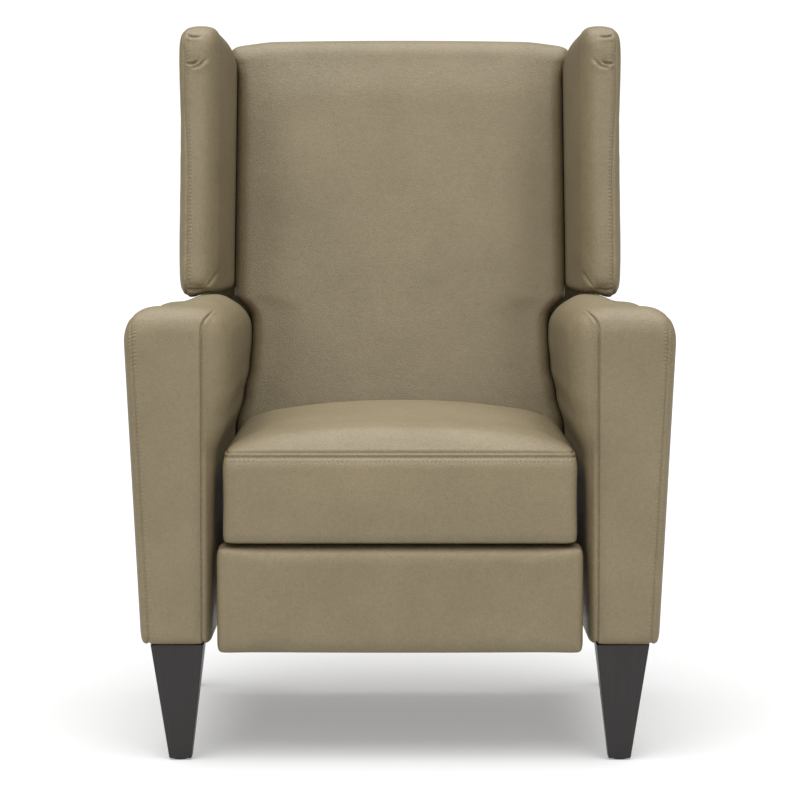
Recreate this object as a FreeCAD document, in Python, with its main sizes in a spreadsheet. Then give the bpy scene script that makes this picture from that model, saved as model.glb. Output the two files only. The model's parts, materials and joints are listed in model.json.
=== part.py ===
"""High leg recliner with wings and a footrest that folds out on a steel linkage.

Lengths are in millimetres, angles in degrees. The chair looks towards -y, x runs to its
side and z up. Depths in the sheet are counted from the front of the seat, and the back is
drawn on its own hinge, square to the lean.
"""
import FreeCAD
import Part
import Sketcher
import math
import os
import re

# the sheet of sizes

SIZES = [
    ("width_all", 798, "over the bulge of the arms"),
    ("depth_all", 880, "seat front to the top of the outside back"),
    ("height_all", 1104, "floor to the tips of the wings before they are rounded"),
    ("glide_high", 6, "height of a glide"),
    ("glide_wide", 20, "width of a glide"),
    ("leg_high", 166, "wooden leg above its glide"),
    ("leg_wide", 73, "front leg at the top, across"),
    ("leg_deep", 70, "front leg at the top, front to rear"),
    ("leg_front", 14, "depth of the front of the front legs"),
    ("leg_proud", 2, "front leg beyond the arm timbers"),
    ("leg_foot", 28, "front leg at the glide"),
    ("foot_in", 3.5, "how far the front foot leans in from the middle of its leg"),
    ("foot_back", 6, "how far the front foot stands behind the front of its leg"),
    ("rear_leg_wide", 40, "rear leg at the top, across"),
    ("rear_leg_deep", 52, "rear leg at the top, front to rear"),
    ("rear_leg_proud", 6, "rear leg beyond the arm timbers"),
    ("rear_leg_in", 12, "rear of the arm to the rear leg at its top"),
    ("rear_foot", 26, "rear leg at the glide"),
    ("rear_foot_in", 6, "rear of the arm to the foot of the rear leg"),
    ("bolt_wide", 8, "hanger bolt of a leg"),
    ("bolt_root", 25, "hanger bolt down into its leg"),
    ("bolt_grip", 28, "hanger bolt up into the rail"),
    ("arm_high", 666, "floor to the top of the arm"),
    ("arm_thick", 131, "arm beside the seat, from its bulge to its inside"),
    ("arm_splay", 25, "how far the foot of the arm stands inside its bulge"),
    ("arm_tuck", 6, "how far the foot of the arm is drawn in on its inside"),
    ("arm_lean_in", 34, "how far the padded top of the arm reaches inwards"),
    ("arm_swell", 273, "foot of the arm to where its inside starts to swell"),
    ("arm_front", 4, "depth of the front of the arm"),
    ("arm_flat", 400, "depth to which the top of the arm is level"),
    ("arm_rear", 650, "depth of the rear of the arm"),
    ("arm_fall", 20, "how much lower the top of the arm is at its rear"),
    ("arm_hem", 15, "rounding at the foot and at both ends of the arm"),
    ("arm_round", 50, "rounding of the outer top of the arm"),
    ("arm_arch", 160, "rounding along the crown of the arm"),
    ("arm_roll", 46, "rounding of the inner top of the arm"),
    ("arm_foam", 16, "padding before the arm timbers"),
    ("arm_foam_rear", 10, "padding behind the arm timbers"),
    ("arm_crown", 36, "padding over the arm timbers"),
    ("arm_side", 37, "bulge of the arm to the outside of its timbers"),
    ("frame_wide", 60, "width of the arm timbers"),
    ("timber", 40, "thickness of rails and posts"),
    ("top_timber", 25, "thickness of the top rail of the arm"),
    ("plywood", 12, "thickness of panels and boards"),
    ("cross_high", 60, "height of the two cross rails"),
    ("cross_deep", 25, "thickness of the two cross rails"),
    ("cross_lift", 8, "foot of the arm to the underside of the cross rails"),
    ("cross_front", 395, "depth of the first cross rail"),
    ("cross_rear", 598, "depth of the second cross rail"),
    ("channel_high", 40, "height of the steel slide channels"),
    ("channel_wide", 24, "width of the steel slide channels"),
    ("channel_sheet", 2.5, "sheet of the slide channels"),
    ("channel_front", 290, "depth where the slide channels begin"),
    ("channel_gap", 4, "carriage plate to the slide channel"),
    ("screw_wide", 5, "screws of the channels"),
    ("screw_long", 30, "screws down into the cross rails"),
    ("screw_in", 13, "inner edge of a channel to its screws"),
    ("plate_in", 30, "side of the seat to the carriage plates"),
    ("plate_ahead", 80, "main link pin to the front of the carriage plates"),
    ("plate_below", 23, "main link pin to the lower edge of the carriage plates"),
    ("plate_start", 50, "front of the channels to the low part of the plates"),
    ("plate_lift", 7, "cross rails to the carriage plates"),
    ("plate_round", 22, "hinge to the edges of the carriage plates"),
    ("plate_drop", 10, "seat foam to the top of the carriage plates"),
    ("plate_step", 8, "rear of the seat to the step of the carriage plates"),
    ("shoe_long", 40, "nylon shoe"),
    ("shoe_play", 0.5, "shoe to the inside of its channel"),
    ("shoe_first", 72, "front of the channels to the first shoe"),
    ("shoe_last", 23, "second shoe before the second cross rail"),
    ("link_sheet", 4, "sheet of plates and links"),
    ("link_gap", 1, "washer space between links"),
    ("link_round", 11, "half width of a link"),
    ("pin_wide", 8, "width of the link pins"),
    ("pin_play", 0.1, "play of a turning hole all round"),
    ("idler_slack", 0.5, "more play where the linkage is open at the idler"),
    ("control_slack", 1.4, "more play where the linkage is open at the footrest"),
    ("seat_gap", 2, "side of the seat to the arm"),
    ("seat_rise", 85, "seat foam from its underside to its crown"),
    ("seat_under", 410, "floor to the underside of the seat foam"),
    ("seat_lip", 321, "floor to the lower edge of the seat front"),
    ("seat_deep", 483, "seat front to its rear"),
    ("seat_round", 22, "rounding of the front corners of the seat"),
    ("apron_deep", 60, "thickness of the padded seat front below the foam"),
    ("rail_low", 345, "floor to the underside of the seat rails"),
    ("rail_thick", 25, "thickness of the seat rails"),
    ("rail_front", 28, "depth of the front seat rail"),
    ("rail_drop", 8, "how much lower the front seat rail reaches"),
    ("rail_rear", 3, "rear seat rail to the rear of the seat"),
    ("wire_wide", 3.8, "spring wire"),
    ("wire_gap", 0.3, "spring to the foam over it"),
    ("spring_pitch", 20, "one bend of a spring to the next"),
    ("spring_swing", 18, "how far a spring swings to each side"),
    ("spring_bend", 8, "bend of the spring wire"),
    ("spring_side", 57, "seat rail to the line of the outer spring"),
    ("clip_wide", 14, "spring clip, across"),
    ("clip_long", 7, "spring clip, front to rear"),
    ("clip_lap", 1, "clip over the edge of the seat rail"),
    ("rest_more", 2, "how much further the footrest reaches than the seat"),
    ("rest_top", 315, "floor to the top of the closed footrest"),
    ("rest_low", 165, "floor to the bottom of the closed footrest"),
    ("rest_thick", 60, "closed footrest with its board"),
    ("board_in", 10, "edge of the footrest to its board"),
    ("main_pin_deep", 175, "depth of the main link pin"),
    ("main_pin_high", 300, "height of the main link pin"),
    ("idler_pin_deep", 214.4, "depth of the idler pin"),
    ("idler_pin_high", 307, "height of the idler pin"),
    ("joint_deep", 284.6, "depth of the pin from main link to coupler"),
    ("joint_high", 190, "height of the pin from main link to coupler"),
    ("control_pin_deep", 302.1, "depth of the pin from main link to control link"),
    ("control_pin_high", 216.8, "height of the pin from main link to control link"),
    ("idler_joint_deep", 324.5, "depth of the pin from idler to coupler"),
    ("idler_joint_high", 198.3, "height of the pin from idler to coupler"),
    ("rest_pin_deep", 78, "depth of the pin that carries the footrest"),
    ("rest_pin_high", 215, "height of the pin that carries the footrest"),
    ("rest_ear_deep", 119.9, "depth of the control pin on the footrest bracket"),
    ("rest_ear_high", 250.7, "height of the control pin on the footrest bracket"),
    ("rod_deep", 188.3, "depth of the cross rod between the main links"),
    ("rod_high", 249.8, "height of the cross rod between the main links"),
    ("rod_wide", 12, "width of the cross rod"),
    ("tab_below", 16, "footrest pin to the bottom of its bracket"),
    ("tab_above", 50, "footrest pin to the top of its bracket"),
    ("tab_lap", 4, "footrest pin to the rear of the flat of its bracket"),
    ("flange_wide", 24, "flange of a footrest bracket"),
    ("flange_sheet", 3, "sheet of that flange"),
    ("hinge_deep", 600, "depth of the back hinge"),
    ("hinge_high", 315, "height of the back hinge"),
    ("hinge_wide", 10, "width of the hinge pins"),
    ("eye_wide", 36, "eye of a back bracket"),
    ("bracket_long", 200, "back bracket above the hinge"),
    ("lean", 18, "lean of the upright back"),
    ("stile_gap", 6, "carriage plate to the stile of the back"),
    ("stile_wide", 35, "stile of the back"),
    ("stile_foot", 14, "stile below the hinge"),
    ("frame_fore", 10, "front of the back frame before the hinge"),
    ("rail_first", 70, "hinge to the first back rail"),
    ("rail_second", 440, "hinge to the second back rail"),
    ("strap_wide", 50, "elastic strap"),
    ("strap_thick", 1.5, "thickness of a strap"),
    ("back_fore", 138, "hinge line to the front of the back cushion"),
    ("back_aft", 42, "hinge line to the outside back"),
    ("back_foot", 62, "hinge to the bottom of the back cushion"),
    ("back_long", 763, "hinge to the top of the back cushion"),
    ("back_tuck", 6, "foot of the back cushion to the inside of the arm"),
    ("waist_in", 33, "waist of the back to the inside of the foot of the arm"),
    ("waist_up", 290, "hinge to the waist of the back"),
    ("shoulder_up", 332, "hinge to the shoulder of the back at its front"),
    ("shoulder_rise", 44, "how much higher the shoulder is at its rear"),
    ("back_foam", 19, "foam over the top of the back frame"),
    ("outside_foot", 16, "hinge to the bottom of the outside back"),
    ("outside_in", 6, "waist of the outside back to the waist of the cushion"),
    ("outside_shoulder", 306, "hinge to the shoulder of the outside back"),
    ("outside_over", 11, "outside back above the back cushion"),
    ("wing_inset", 49, "bulge of the arm to the outside of the wings"),
    ("wing_thick", 76, "thickness of a wing"),
    ("wing_fore", 362, "depth of the lower front corner of the wings"),
    ("wing_low", 674, "floor to the lower front corner of the wings"),
    ("wing_rake", 92, "how far the tip of a wing stands behind that corner"),
    ("wing_rear_up", 388, "hinge to the lower rear corner of the wings"),
    ("wing_over", 6, "rear of the wings above the back cushion"),
    ("wing_foam", 16, "foam round the edge of the wing boards"),
    ("board_side", 26, "inside of a wing to its board"),
    ("board_thick", 18, "wing board"),
    ("stub_high", 45, "stub of a wing board, up the back"),
    ("stub_deep", 24, "stub of a wing board, front to rear"),
]

doc = FreeCAD.newDocument("Recliner")
sheet = doc.addObject("Spreadsheet::Sheet", "Sizes")
for row, (name, value, meaning) in enumerate(SIZES, start=1):
    sheet.set("A%d" % row, name)
    sheet.set("B%d" % row, str(value))
    sheet.set("C%d" % row, meaning)
    sheet.setAlias("B%d" % row, name)
doc.recompute()

NAMES = {name for name, value, meaning in SIZES}
nodes = []


def size(name):
    """Returns a size of the sheet as a plain number."""
    return float(getattr(sheet, name))


def formula(text):
    """Writes an expression for the sheet, where each size stands by its own name."""
    def full(word):
        return "Sizes." + word.group(0) if word.group(0) in NAMES else word.group(0)
    return re.sub(r"[a-z][a-z_]*", full, str(text))


def bind(thing, **values):
    """Binds properties of an object to expressions of the sheet."""
    for name, text in values.items():
        thing.setExpression(name, formula(text))


def put(thing, across, depth, up):
    """Binds the place of an object, its depth counted from the seat front."""
    thing.setExpression("Placement.Base.x", formula(across))
    thing.setExpression("Placement.Base.y", formula("(%s) - depth_all / 2" % depth))
    thing.setExpression("Placement.Base.z", formula(up))


def keep(thing, label):
    """Gives a finished sub-part its name and notes it for writing."""
    thing.Label = label
    nodes.append(thing)
    return thing


def mirrored(span, side):
    """Turns a span of the +x side into the same span of the other side."""
    if side > 0:
        return span
    return ("-(%s)" % span[1], "-(%s)" % span[0])


def block(span, depth, up, side=1):
    """A square-edged timber or plate between two places along each axis."""
    low, high = mirrored(span, side)
    box = doc.addObject("Part::Box", "Block")
    bind(box, Length="(%s) - (%s)" % (high, low), Width="(%s) - (%s)" % (depth[1], depth[0]),
         Height="(%s) - (%s)" % (up[1], up[0]))
    put(box, low, depth[0], up[0])
    return box


def rod_across(span, depth, up, radius, side=1):
    """A round pin that runs across the chair."""
    low, high = mirrored(span, side)
    rod = doc.addObject("Part::Cylinder", "Rod")
    rod.Placement = FreeCAD.Placement(FreeCAD.Vector(), FreeCAD.Rotation(FreeCAD.Vector(0, 1, 0), 90))
    bind(rod, Radius=radius, Height="(%s) - (%s)" % (high, low))
    put(rod, low, depth, up)
    return rod


def rod_up(across, depth, up, radius):
    """A round bolt that stands upright."""
    rod = doc.addObject("Part::Cylinder", "Bolt")
    bind(rod, Radius=radius, Height="(%s) - (%s)" % (up[1], up[0]))
    put(rod, across, depth, up[0])
    return rod


def joined(parts):
    """Several solids that are one piece."""
    fuse = doc.addObject("Part::MultiFuse", "Joined")
    fuse.Shapes = parts
    return fuse


def grouped(parts):
    """Several pieces of the same kind that share a node."""
    group = doc.addObject("Part::Compound", "Group")
    group.Links = parts
    return group


def cut(base, tool):
    """Takes one solid out of another."""
    result = doc.addObject("Part::Cut", "Cut")
    result.Base = base
    result.Tool = tool
    return result


# soft outlines and lofts

def moved_in(corners, inset):
    """Moves every edge of an anticlockwise outline inwards by the same distance."""
    lines = []
    for (ax, ay, ar), (bx, by, br) in zip(corners, corners[1:] + corners[:1]):
        length = math.hypot(bx - ax, by - ay)
        ux, uy = (bx - ax) / length, (by - ay) / length
        lines.append((ax - uy * inset, ay + ux * inset, ux, uy))
    result = []
    for corner, before, after in zip(corners, lines[-1:] + lines[:-1], lines):
        ax, ay, ux, uy = before
        bx, by, vx, vy = after
        along = ((bx - ax) * vy - (by - ay) * vx) / (ux * vy - uy * vx)
        result.append((ax + ux * along, ay + uy * along, corner[2]))
    return result


def rounded(corners, level):
    """Draws an outline with round corners at one level, as a closed wire."""
    stops = []
    count = len(corners)
    for index in range(count):
        px, py = corners[index - 1][:2]
        cx, cy, radius = corners[index]
        nx, ny = corners[(index + 1) % count][:2]
        back = math.hypot(px - cx, py - cy)
        ahead = math.hypot(nx - cx, ny - cy)
        bx, by = (px - cx) / back, (py - cy) / back
        ax, ay = (nx - cx) / ahead, (ny - cy) / ahead
        half = math.acos(max(-1, min(1, bx * ax + by * ay))) / 2
        reach = radius / math.tan(half)
        mx, my = bx + ax, by + ay
        scale = (radius / math.sin(half) - radius) / math.hypot(mx, my)
        stops.append((
            FreeCAD.Vector(cx + bx * reach, cy + by * reach, level),
            FreeCAD.Vector(cx + mx * scale, cy + my * scale, level),
            FreeCAD.Vector(cx + ax * reach, cy + ay * reach, level)))
    edges = []
    for index in range(count):
        start, middle, end = stops[index]
        edges.append(Part.Arc(start, middle, end).toShape())
        edges.append(Part.makeLine(end, stops[(index + 1) % count][0]))
    return Part.Wire(edges)


def loft(sections):
    """Joins outlines at their levels to one solid."""
    wires = [rounded(corners, level) for corners, level in sections]
    solid = Part.makeLoft(wires, True, True)
    return Part.makeSolid(solid) if solid.ShapeType == "Shell" else solid


def shell_of_levels(corners, levels):
    """Lofts one outline that is drawn in by a distance at each level."""
    return loft([(moved_in(corners, inset), level) for level, inset in levels])


def soft_edge(start, depth, inset, way=1):
    """Levels and insets of a padded edge: a quarter of an ellipse from its face to its side."""
    steps = [math.radians(angle) for angle in (0, 30, 60, 90)]
    return [(start + way * depth * (1 - math.cos(turn)), inset * (1 - math.sin(turn))) for turn in steps]


def slab(corners, low, high):
    """A straight-sided solid over an outline with round corners."""
    face = Part.Face(rounded(corners, low))
    return face.extrude(FreeCAD.Vector(0, 0, high - low))


def laid(shape, columns, base):
    """Turns a shape so that its x, y and z lie along the given directions, and moves it."""
    x, y, z = [FreeCAD.Vector(*column) for column in columns]
    matrix = FreeCAD.Matrix(
        x.x, y.x, z.x, base[0],
        x.y, y.y, z.y, base[1],
        x.z, y.z, z.z, base[2],
        0, 0, 0, 1)
    return shape.transformed(matrix)


def soft(label, shape):
    """A padded form, set from its loft."""
    thing = doc.addObject("Part::Feature", "Soft")
    thing.Shape = shape
    return keep(thing, label)


def box_shape(low, high):
    """A plain solid between two corners, used to make room for timbers."""
    edge = [high[i] - low[i] for i in range(3)]
    return Part.makeBox(edge[0], edge[1], edge[2], FreeCAD.Vector(*low))


SIDES = (("left", -1), ("right", 1))
FLOOR_Y = size("depth_all") / 2

# names for places that follow from the sheet

LEG_TOP = "glide_high + leg_high"
FRAME_OUT = "width_all / 2 - arm_side"
FRAME_IN = "width_all / 2 - arm_side - frame_wide"
FRAME_FRONT = "arm_front + arm_foam"
FRAME_REAR = "arm_rear - arm_foam_rear"
TOP_RAIL_TOP = "arm_high - arm_crown"
TOP_RAIL_LOW = "arm_high - arm_crown - top_timber"
CROSS_LOW = LEG_TOP + " + cross_lift"
CROSS_TOP = CROSS_LOW + " + cross_high"
CHANNEL_TOP = CROSS_TOP + " + channel_high"
SEAT_HALF = "width_all / 2 - arm_thick - seat_gap"
PLATE_OUT = SEAT_HALF + " - plate_in"
PLATE_IN = PLATE_OUT + " - link_sheet"
CHANNEL_IN = PLATE_OUT + " + channel_gap"
CHANNEL_OUT = CHANNEL_IN + " + channel_wide"
BOLT_SPAN = (LEG_TOP + " - bolt_root", LEG_TOP + " + bolt_grip")
FRONT_LEG_OUT = FRAME_OUT + " + leg_proud"
REAR_LEG_OUT = FRAME_OUT + " + rear_leg_proud"

# the same places as numbers, for the padded forms

inside_of_arm = size("width_all") / 2 - size("arm_thick")
half_seat = inside_of_arm - size("seat_gap")
face_of_plate = half_seat - size("plate_in")
stile_side = face_of_plate - size("link_sheet") - size("stile_gap")
underside = size("glide_high") + size("leg_high")


def leg(label, side, top, foot, depth_top, depth_foot):
    """A tapered leg turned upright from a wedge, with a hole for its bolt."""
    wedge = doc.addObject("Part::Wedge", "Taper")
    top_low, top_high = mirrored(top, side)
    foot_low, foot_high = mirrored(foot, side)
    wedge.Placement = FreeCAD.Placement(FreeCAD.Vector(), FreeCAD.Rotation(FreeCAD.Vector(1, 0, 0), 90))
    bind(wedge, Ymin="glide_high", Ymax=LEG_TOP, Xmin=foot_low, Xmax=foot_high,
         X2min=top_low, X2max=top_high,
         Zmin="depth_all / 2 - (%s)" % depth_foot[1], Zmax="depth_all / 2 - (%s)" % depth_foot[0],
         Z2min="depth_all / 2 - (%s)" % depth_top[1], Z2max="depth_all / 2 - (%s)" % depth_top[0])
    return keep(cut(wedge, leg_bolts), label)


def bolt_places():
    """The four upright axes of the leg bolts."""
    places = []
    for name, side in SIDES:
        places.append(("%d * (%s - leg_wide / 2)" % (side, FRONT_LEG_OUT), "leg_front + leg_deep / 2"))
        places.append(("%d * (%s - rear_leg_wide / 2)" % (side, REAR_LEG_OUT),
                       "arm_rear - rear_leg_in - rear_leg_deep / 2"))
    return places


# Legs: tapered hardwood, each on a nylon glide and held by a hanger bolt

leg_bolts = keep(grouped([rod_up(x, d, BOLT_SPAN, "bolt_wide / 2") for x, d in bolt_places()]), "leg_bolts")


def legs_and_glides():
    """Four legs and their glides."""
    glides = []
    front_foot = FRONT_LEG_OUT + " - leg_wide / 2 - foot_in"
    foot_depth = "leg_front + foot_back"
    rear_foot_depth = "arm_rear - rear_foot_in"
    for name, side in SIDES:
        leg("front_leg_" + name, side, (FRONT_LEG_OUT + " - leg_wide", FRONT_LEG_OUT),
            (front_foot + " - leg_foot / 2", front_foot + " + leg_foot / 2"),
            ("leg_front", "leg_front + leg_deep"), (foot_depth, foot_depth + " + leg_foot"))
        leg("rear_leg_" + name, side, (REAR_LEG_OUT + " - rear_leg_wide", REAR_LEG_OUT),
            (REAR_LEG_OUT + " - rear_foot", REAR_LEG_OUT),
            ("arm_rear - rear_leg_in - rear_leg_deep", "arm_rear - rear_leg_in"),
            (rear_foot_depth + " - rear_foot", rear_foot_depth))
        glides.append(rod_up("%d * (%s)" % (side, front_foot), foot_depth + " + leg_foot / 2",
                             ("0", "glide_high"), "glide_wide / 2"))
        glides.append(rod_up("%d * (%s - rear_foot / 2)" % (side, REAR_LEG_OUT),
                             rear_foot_depth + " - rear_foot / 2", ("0", "glide_high"), "glide_wide / 2"))
    keep(grouped(glides), "leg_glides")


# Arms: a glued timber frame with a plywood side inside a padded cover

def arm_frame(name, side):
    """Rails, posts and side panel of one arm."""
    across = (FRAME_IN, FRAME_OUT)
    bottom = block(across, (FRAME_FRONT, FRAME_REAR), (LEG_TOP, LEG_TOP + " + timber"), side)
    bored = cut(bottom, leg_bolts)
    top = block(across, (FRAME_FRONT, FRAME_REAR), (TOP_RAIL_LOW, TOP_RAIL_TOP), side)
    keep(grouped([bored, top]), "arm_rails_" + name)
    between = (LEG_TOP + " + timber", TOP_RAIL_LOW)
    front = block(across, (FRAME_FRONT, FRAME_FRONT + " + timber"), between, side)
    rear = block(across, (FRAME_REAR + " - timber", FRAME_REAR), between, side)
    keep(grouped([front, rear]), "arm_posts_" + name)
    keep(block((FRAME_OUT + " - plywood", FRAME_OUT),
               (FRAME_FRONT + " + timber", FRAME_REAR + " - timber"), between, side), "arm_panel_" + name)


def arm_outline(top):
    """The arm from in front: drawn in at its foot, broad and rolled at its top."""
    foot = size("width_all") / 2 - size("arm_splay")
    outside = size("width_all") / 2 + 4
    bulge = inside_of_arm - size("arm_lean_in")
    return [(inside_of_arm + size("arm_tuck"), underside, size("arm_hem")),
            (foot, underside, size("arm_hem")), (outside, top - 4, size("arm_round")),
            ((bulge + outside) / 2, top + 6, size("arm_arch")), (bulge, top + 2, size("arm_roll")),
            (inside_of_arm, underside + size("arm_swell"), 60)]


def arm_pad(name, side):
    """The padded cover of one arm, hollow where it goes round the timbers."""
    level = arm_outline(size("arm_high"))
    fallen = arm_outline(size("arm_high") - size("arm_fall"))
    front = size("arm_front")
    rear = size("arm_rear")
    hem = size("arm_hem")
    whole = shell_of_levels(level, soft_edge(front, hem, hem - 2)).fuse([
        slab(level, front + hem, size("arm_flat")),
        loft([(level, size("arm_flat")), (fallen, rear - hem)]),
        shell_of_levels(fallen, soft_edge(rear, hem, hem - 2, -1))])
    whole = laid(whole, ((side, 0, 0), (0, 0, 1), (0, 1, 0)), (0, -FLOOR_Y, 0))
    out = size("width_all") / 2 - size("arm_side")
    inner = out - size("frame_wide")
    room = box_shape((inner, front + size("arm_foam") - FLOOR_Y, underside - 1),
                     (out, rear - size("arm_foam_rear") - FLOOR_Y, size("arm_high") - size("arm_crown")))
    slots = []
    low = underside + size("cross_lift")
    for depth in (size("cross_front"), size("cross_rear")):
        slots.append(box_shape((inside_of_arm - size("arm_lean_in"), depth - FLOOR_Y, low),
                               (inner + 1, depth + size("cross_deep") - FLOOR_Y, low + size("cross_high"))))
    taken = room.fuse(slots)
    if side < 0:
        taken = taken.mirror(FreeCAD.Vector(), FreeCAD.Vector(1, 0, 0))
    soft("arm_pad_" + name, whole.cut(taken))


# Base: cross rails between the arms carry two folded steel channels for the slide

def channel(name, side):
    """One folded channel, open towards the middle, with its screw holes."""
    depth = ("channel_front", "cross_rear + cross_deep")
    web = block((CHANNEL_OUT + " - channel_sheet", CHANNEL_OUT), depth, (CROSS_TOP, CHANNEL_TOP), side)
    sole = block((CHANNEL_IN, CHANNEL_OUT), depth, (CROSS_TOP, CROSS_TOP + " + channel_sheet"), side)
    roof = block((CHANNEL_IN, CHANNEL_OUT), depth, (CHANNEL_TOP + " - channel_sheet", CHANNEL_TOP), side)
    keep(cut(joined([web, sole, roof]), channel_screws), "slide_channel_" + name)


def cross_rail(label, depth):
    """One timber from arm to arm."""
    rail = block(("-(%s)" % FRAME_IN, FRAME_IN), (depth, depth + " + cross_deep"), (CROSS_LOW, CROSS_TOP))
    keep(cut(rail, channel_screws), label)


def screw_places():
    """Two screws at each end of both channels, flush with the sheet."""
    screws = []
    for name, side in SIDES:
        for depth in ("cross_front + cross_deep / 2", "cross_rear + cross_deep / 2"):
            screws.append(rod_up("%d * (%s + screw_in)" % (side, CHANNEL_IN), depth,
                                 (CROSS_TOP + " - screw_long", CROSS_TOP + " + channel_sheet"),
                                 "screw_wide / 2"))
    return screws


legs_and_glides()
channel_screws = keep(grouped(screw_places()), "channel_screws")
cross_rail("front_cross_rail", "cross_front")
cross_rail("rear_cross_rail", "cross_rear")
for name, side in SIDES:
    arm_frame(name, side)
    arm_pad(name, side)
    channel(name, side)


# Seat carriage: steel side plates on nylon shoes carry the seat frame

def plane_of(body, role):
    """Finds one of a body's own origin planes."""
    for feature in body.Origin.OriginFeatures:
        if feature.Role == role:
            return feature


def drawn_plate(label, side, corners, holes):
    """A sheet plate padded from a sketch of its outline, with drilled holes."""
    body = doc.addObject("PartDesign::Body", "Plate")
    put(body, mirrored((PLATE_IN, PLATE_OUT), side)[0], "0", "0")
    outline = body.newObject("Sketcher::SketchObject", "Outline")
    outline.AttachmentSupport = [(plane_of(body, "YZ_Plane"), "")]
    outline.MapMode = "FlatFace"
    count = len(corners)
    middle_deep = (size("channel_front") + size("hinge_deep")) / 2
    middle_high = size("hinge_high")

    def start_place(index):
        turn = 2 * math.pi * index / count
        return FreeCAD.Vector(middle_deep - middle_deep / 2 * math.cos(turn),
                              middle_high + middle_high / 5 * math.sin(turn), 0)

    for index in range(count):
        outline.addGeometry(Part.LineSegment(start_place(index), start_place(index + 1)), False)
    for index in range(count):
        outline.addConstraint(Sketcher.Constraint("Coincident", index, 2, (index + 1) % count, 1))
    for index, (depth, up) in enumerate(corners):
        number = outline.addConstraint(Sketcher.Constraint("DistanceX", -1, 1, index, 1, middle_deep))
        outline.setExpression("Constraints[%d]" % number, formula(depth))
        number = outline.addConstraint(Sketcher.Constraint("DistanceY", -1, 1, index, 1, middle_high))
        outline.setExpression("Constraints[%d]" % number, formula(up))
    pad = body.newObject("PartDesign::Pad", "Sheet")
    pad.Profile = outline
    bind(pad, Length="link_sheet")
    drill = body.newObject("Sketcher::SketchObject", "Drill")
    drill.AttachmentSupport = [(plane_of(body, "YZ_Plane"), "")]
    drill.MapMode = "FlatFace"
    for index, (depth, up, radius) in enumerate(holes):
        centre = start_place(index)
        drill.addGeometry(Part.Circle(centre, FreeCAD.Vector(0, 0, 1), size("pin_wide") / 2), False)
        for kind, text in (("DistanceX", depth), ("DistanceY", up)):
            number = drill.addConstraint(Sketcher.Constraint(kind, -1, 1, index, 3, middle_high))
            drill.setExpression("Constraints[%d]" % number, formula(text))
        number = drill.addConstraint(Sketcher.Constraint("Radius", index, size("pin_wide") / 2))
        drill.setExpression("Constraints[%d]" % number, formula(radius))
    pocket = body.newObject("PartDesign::Pocket", "Holes")
    pocket.Profile = drill
    pocket.Type = "ThroughAll"
    pocket.Midplane = True
    return keep(body, label)


MAIN_PIN = ("main_pin_deep", "main_pin_high")
IDLER_PIN = ("idler_pin_deep", "idler_pin_high")
JOINT = ("joint_deep", "joint_high")
CONTROL_PIN = ("control_pin_deep", "control_pin_high")
IDLER_JOINT = ("idler_joint_deep", "idler_joint_high")
REST_PIN = ("rest_pin_deep", "rest_pin_high")
REST_EAR = ("rest_ear_deep", "rest_ear_high")
ROD = ("rod_deep", "rod_high")
HINGE = ("hinge_deep", "hinge_high")
TIGHT = "pin_wide / 2"
TURNING = "pin_wide / 2 + pin_play"
RAIL_IN = PLATE_IN + " - rail_thick"
RAIL_NEXT = "rail_front + rail_thick"


def side_plate(name, side):
    """The carriage plate of one side: pins at the front, back hinge at the rear."""
    low = CROSS_TOP + " + plate_lift"
    front = "main_pin_deep - plate_ahead"
    rear = "hinge_deep + plate_round"
    step = "seat_deep + plate_step"
    top = "seat_under - plate_drop"
    drawn_plate("side_plate_" + name, side, [
        (front, "main_pin_high - plate_below"), ("channel_front + plate_start", low), (rear, low),
        (rear, "hinge_high + plate_round"), (step, "hinge_high + plate_round"), (step, top), (front, top)],
        [MAIN_PIN + (TIGHT,), IDLER_PIN + (TIGHT,), HINGE + ("hinge_wide / 2 + pin_play",)])


def slide_shoes():
    """Four nylon shoes that run in the channels."""
    shoes = []
    for name, side in SIDES:
        for start in ("channel_front + shoe_first", "cross_rear - shoe_last"):
            shoes.append(block(
                (PLATE_OUT, CHANNEL_OUT + " - channel_sheet - shoe_play"), (start, start + " + shoe_long"),
                (CROSS_TOP + " + channel_sheet + shoe_play", CHANNEL_TOP + " - channel_sheet - shoe_play"),
                side))
    keep(grouped(shoes), "slide_shoes")


def seat_frame():
    """Two long rails and two short ones, with the springs hooked between them."""
    up = ("rail_low", "seat_under")
    rear = "seat_deep - rail_rear"
    keep(grouped([block((RAIL_IN, PLATE_IN), (RAIL_NEXT, rear), up, side) for name, side in SIDES]),
         "seat_side_rails")
    keep(grouped([
        block(("-(%s)" % PLATE_IN, PLATE_IN), ("rail_front", RAIL_NEXT), ("rail_low - rail_drop", "seat_under")),
        block(("-(%s)" % RAIL_IN, RAIL_IN), (rear + " - rail_thick", rear), up)]), "seat_cross_rails")


def bent_path(points, radius):
    """A path through points with its corners bent to a radius."""
    edges = []
    last = points[0]
    for before, corner, after in zip(points, points[1:], points[2:]):
        back = (before - corner).normalize()
        ahead = (after - corner).normalize()
        half = math.acos(max(-1, min(1, back.dot(ahead)))) / 2
        start = corner + back * (radius / math.tan(half))
        end = corner + ahead * (radius / math.tan(half))
        middle = corner + (back + ahead).normalize() * (radius / math.sin(half) - radius)
        edges.append(Part.makeLine(last, start))
        edges.append(Part.Arc(start, middle, end).toShape())
        last = end
    edges.append(Part.makeLine(last, points[-1]))
    return Part.Wire(edges)


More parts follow.
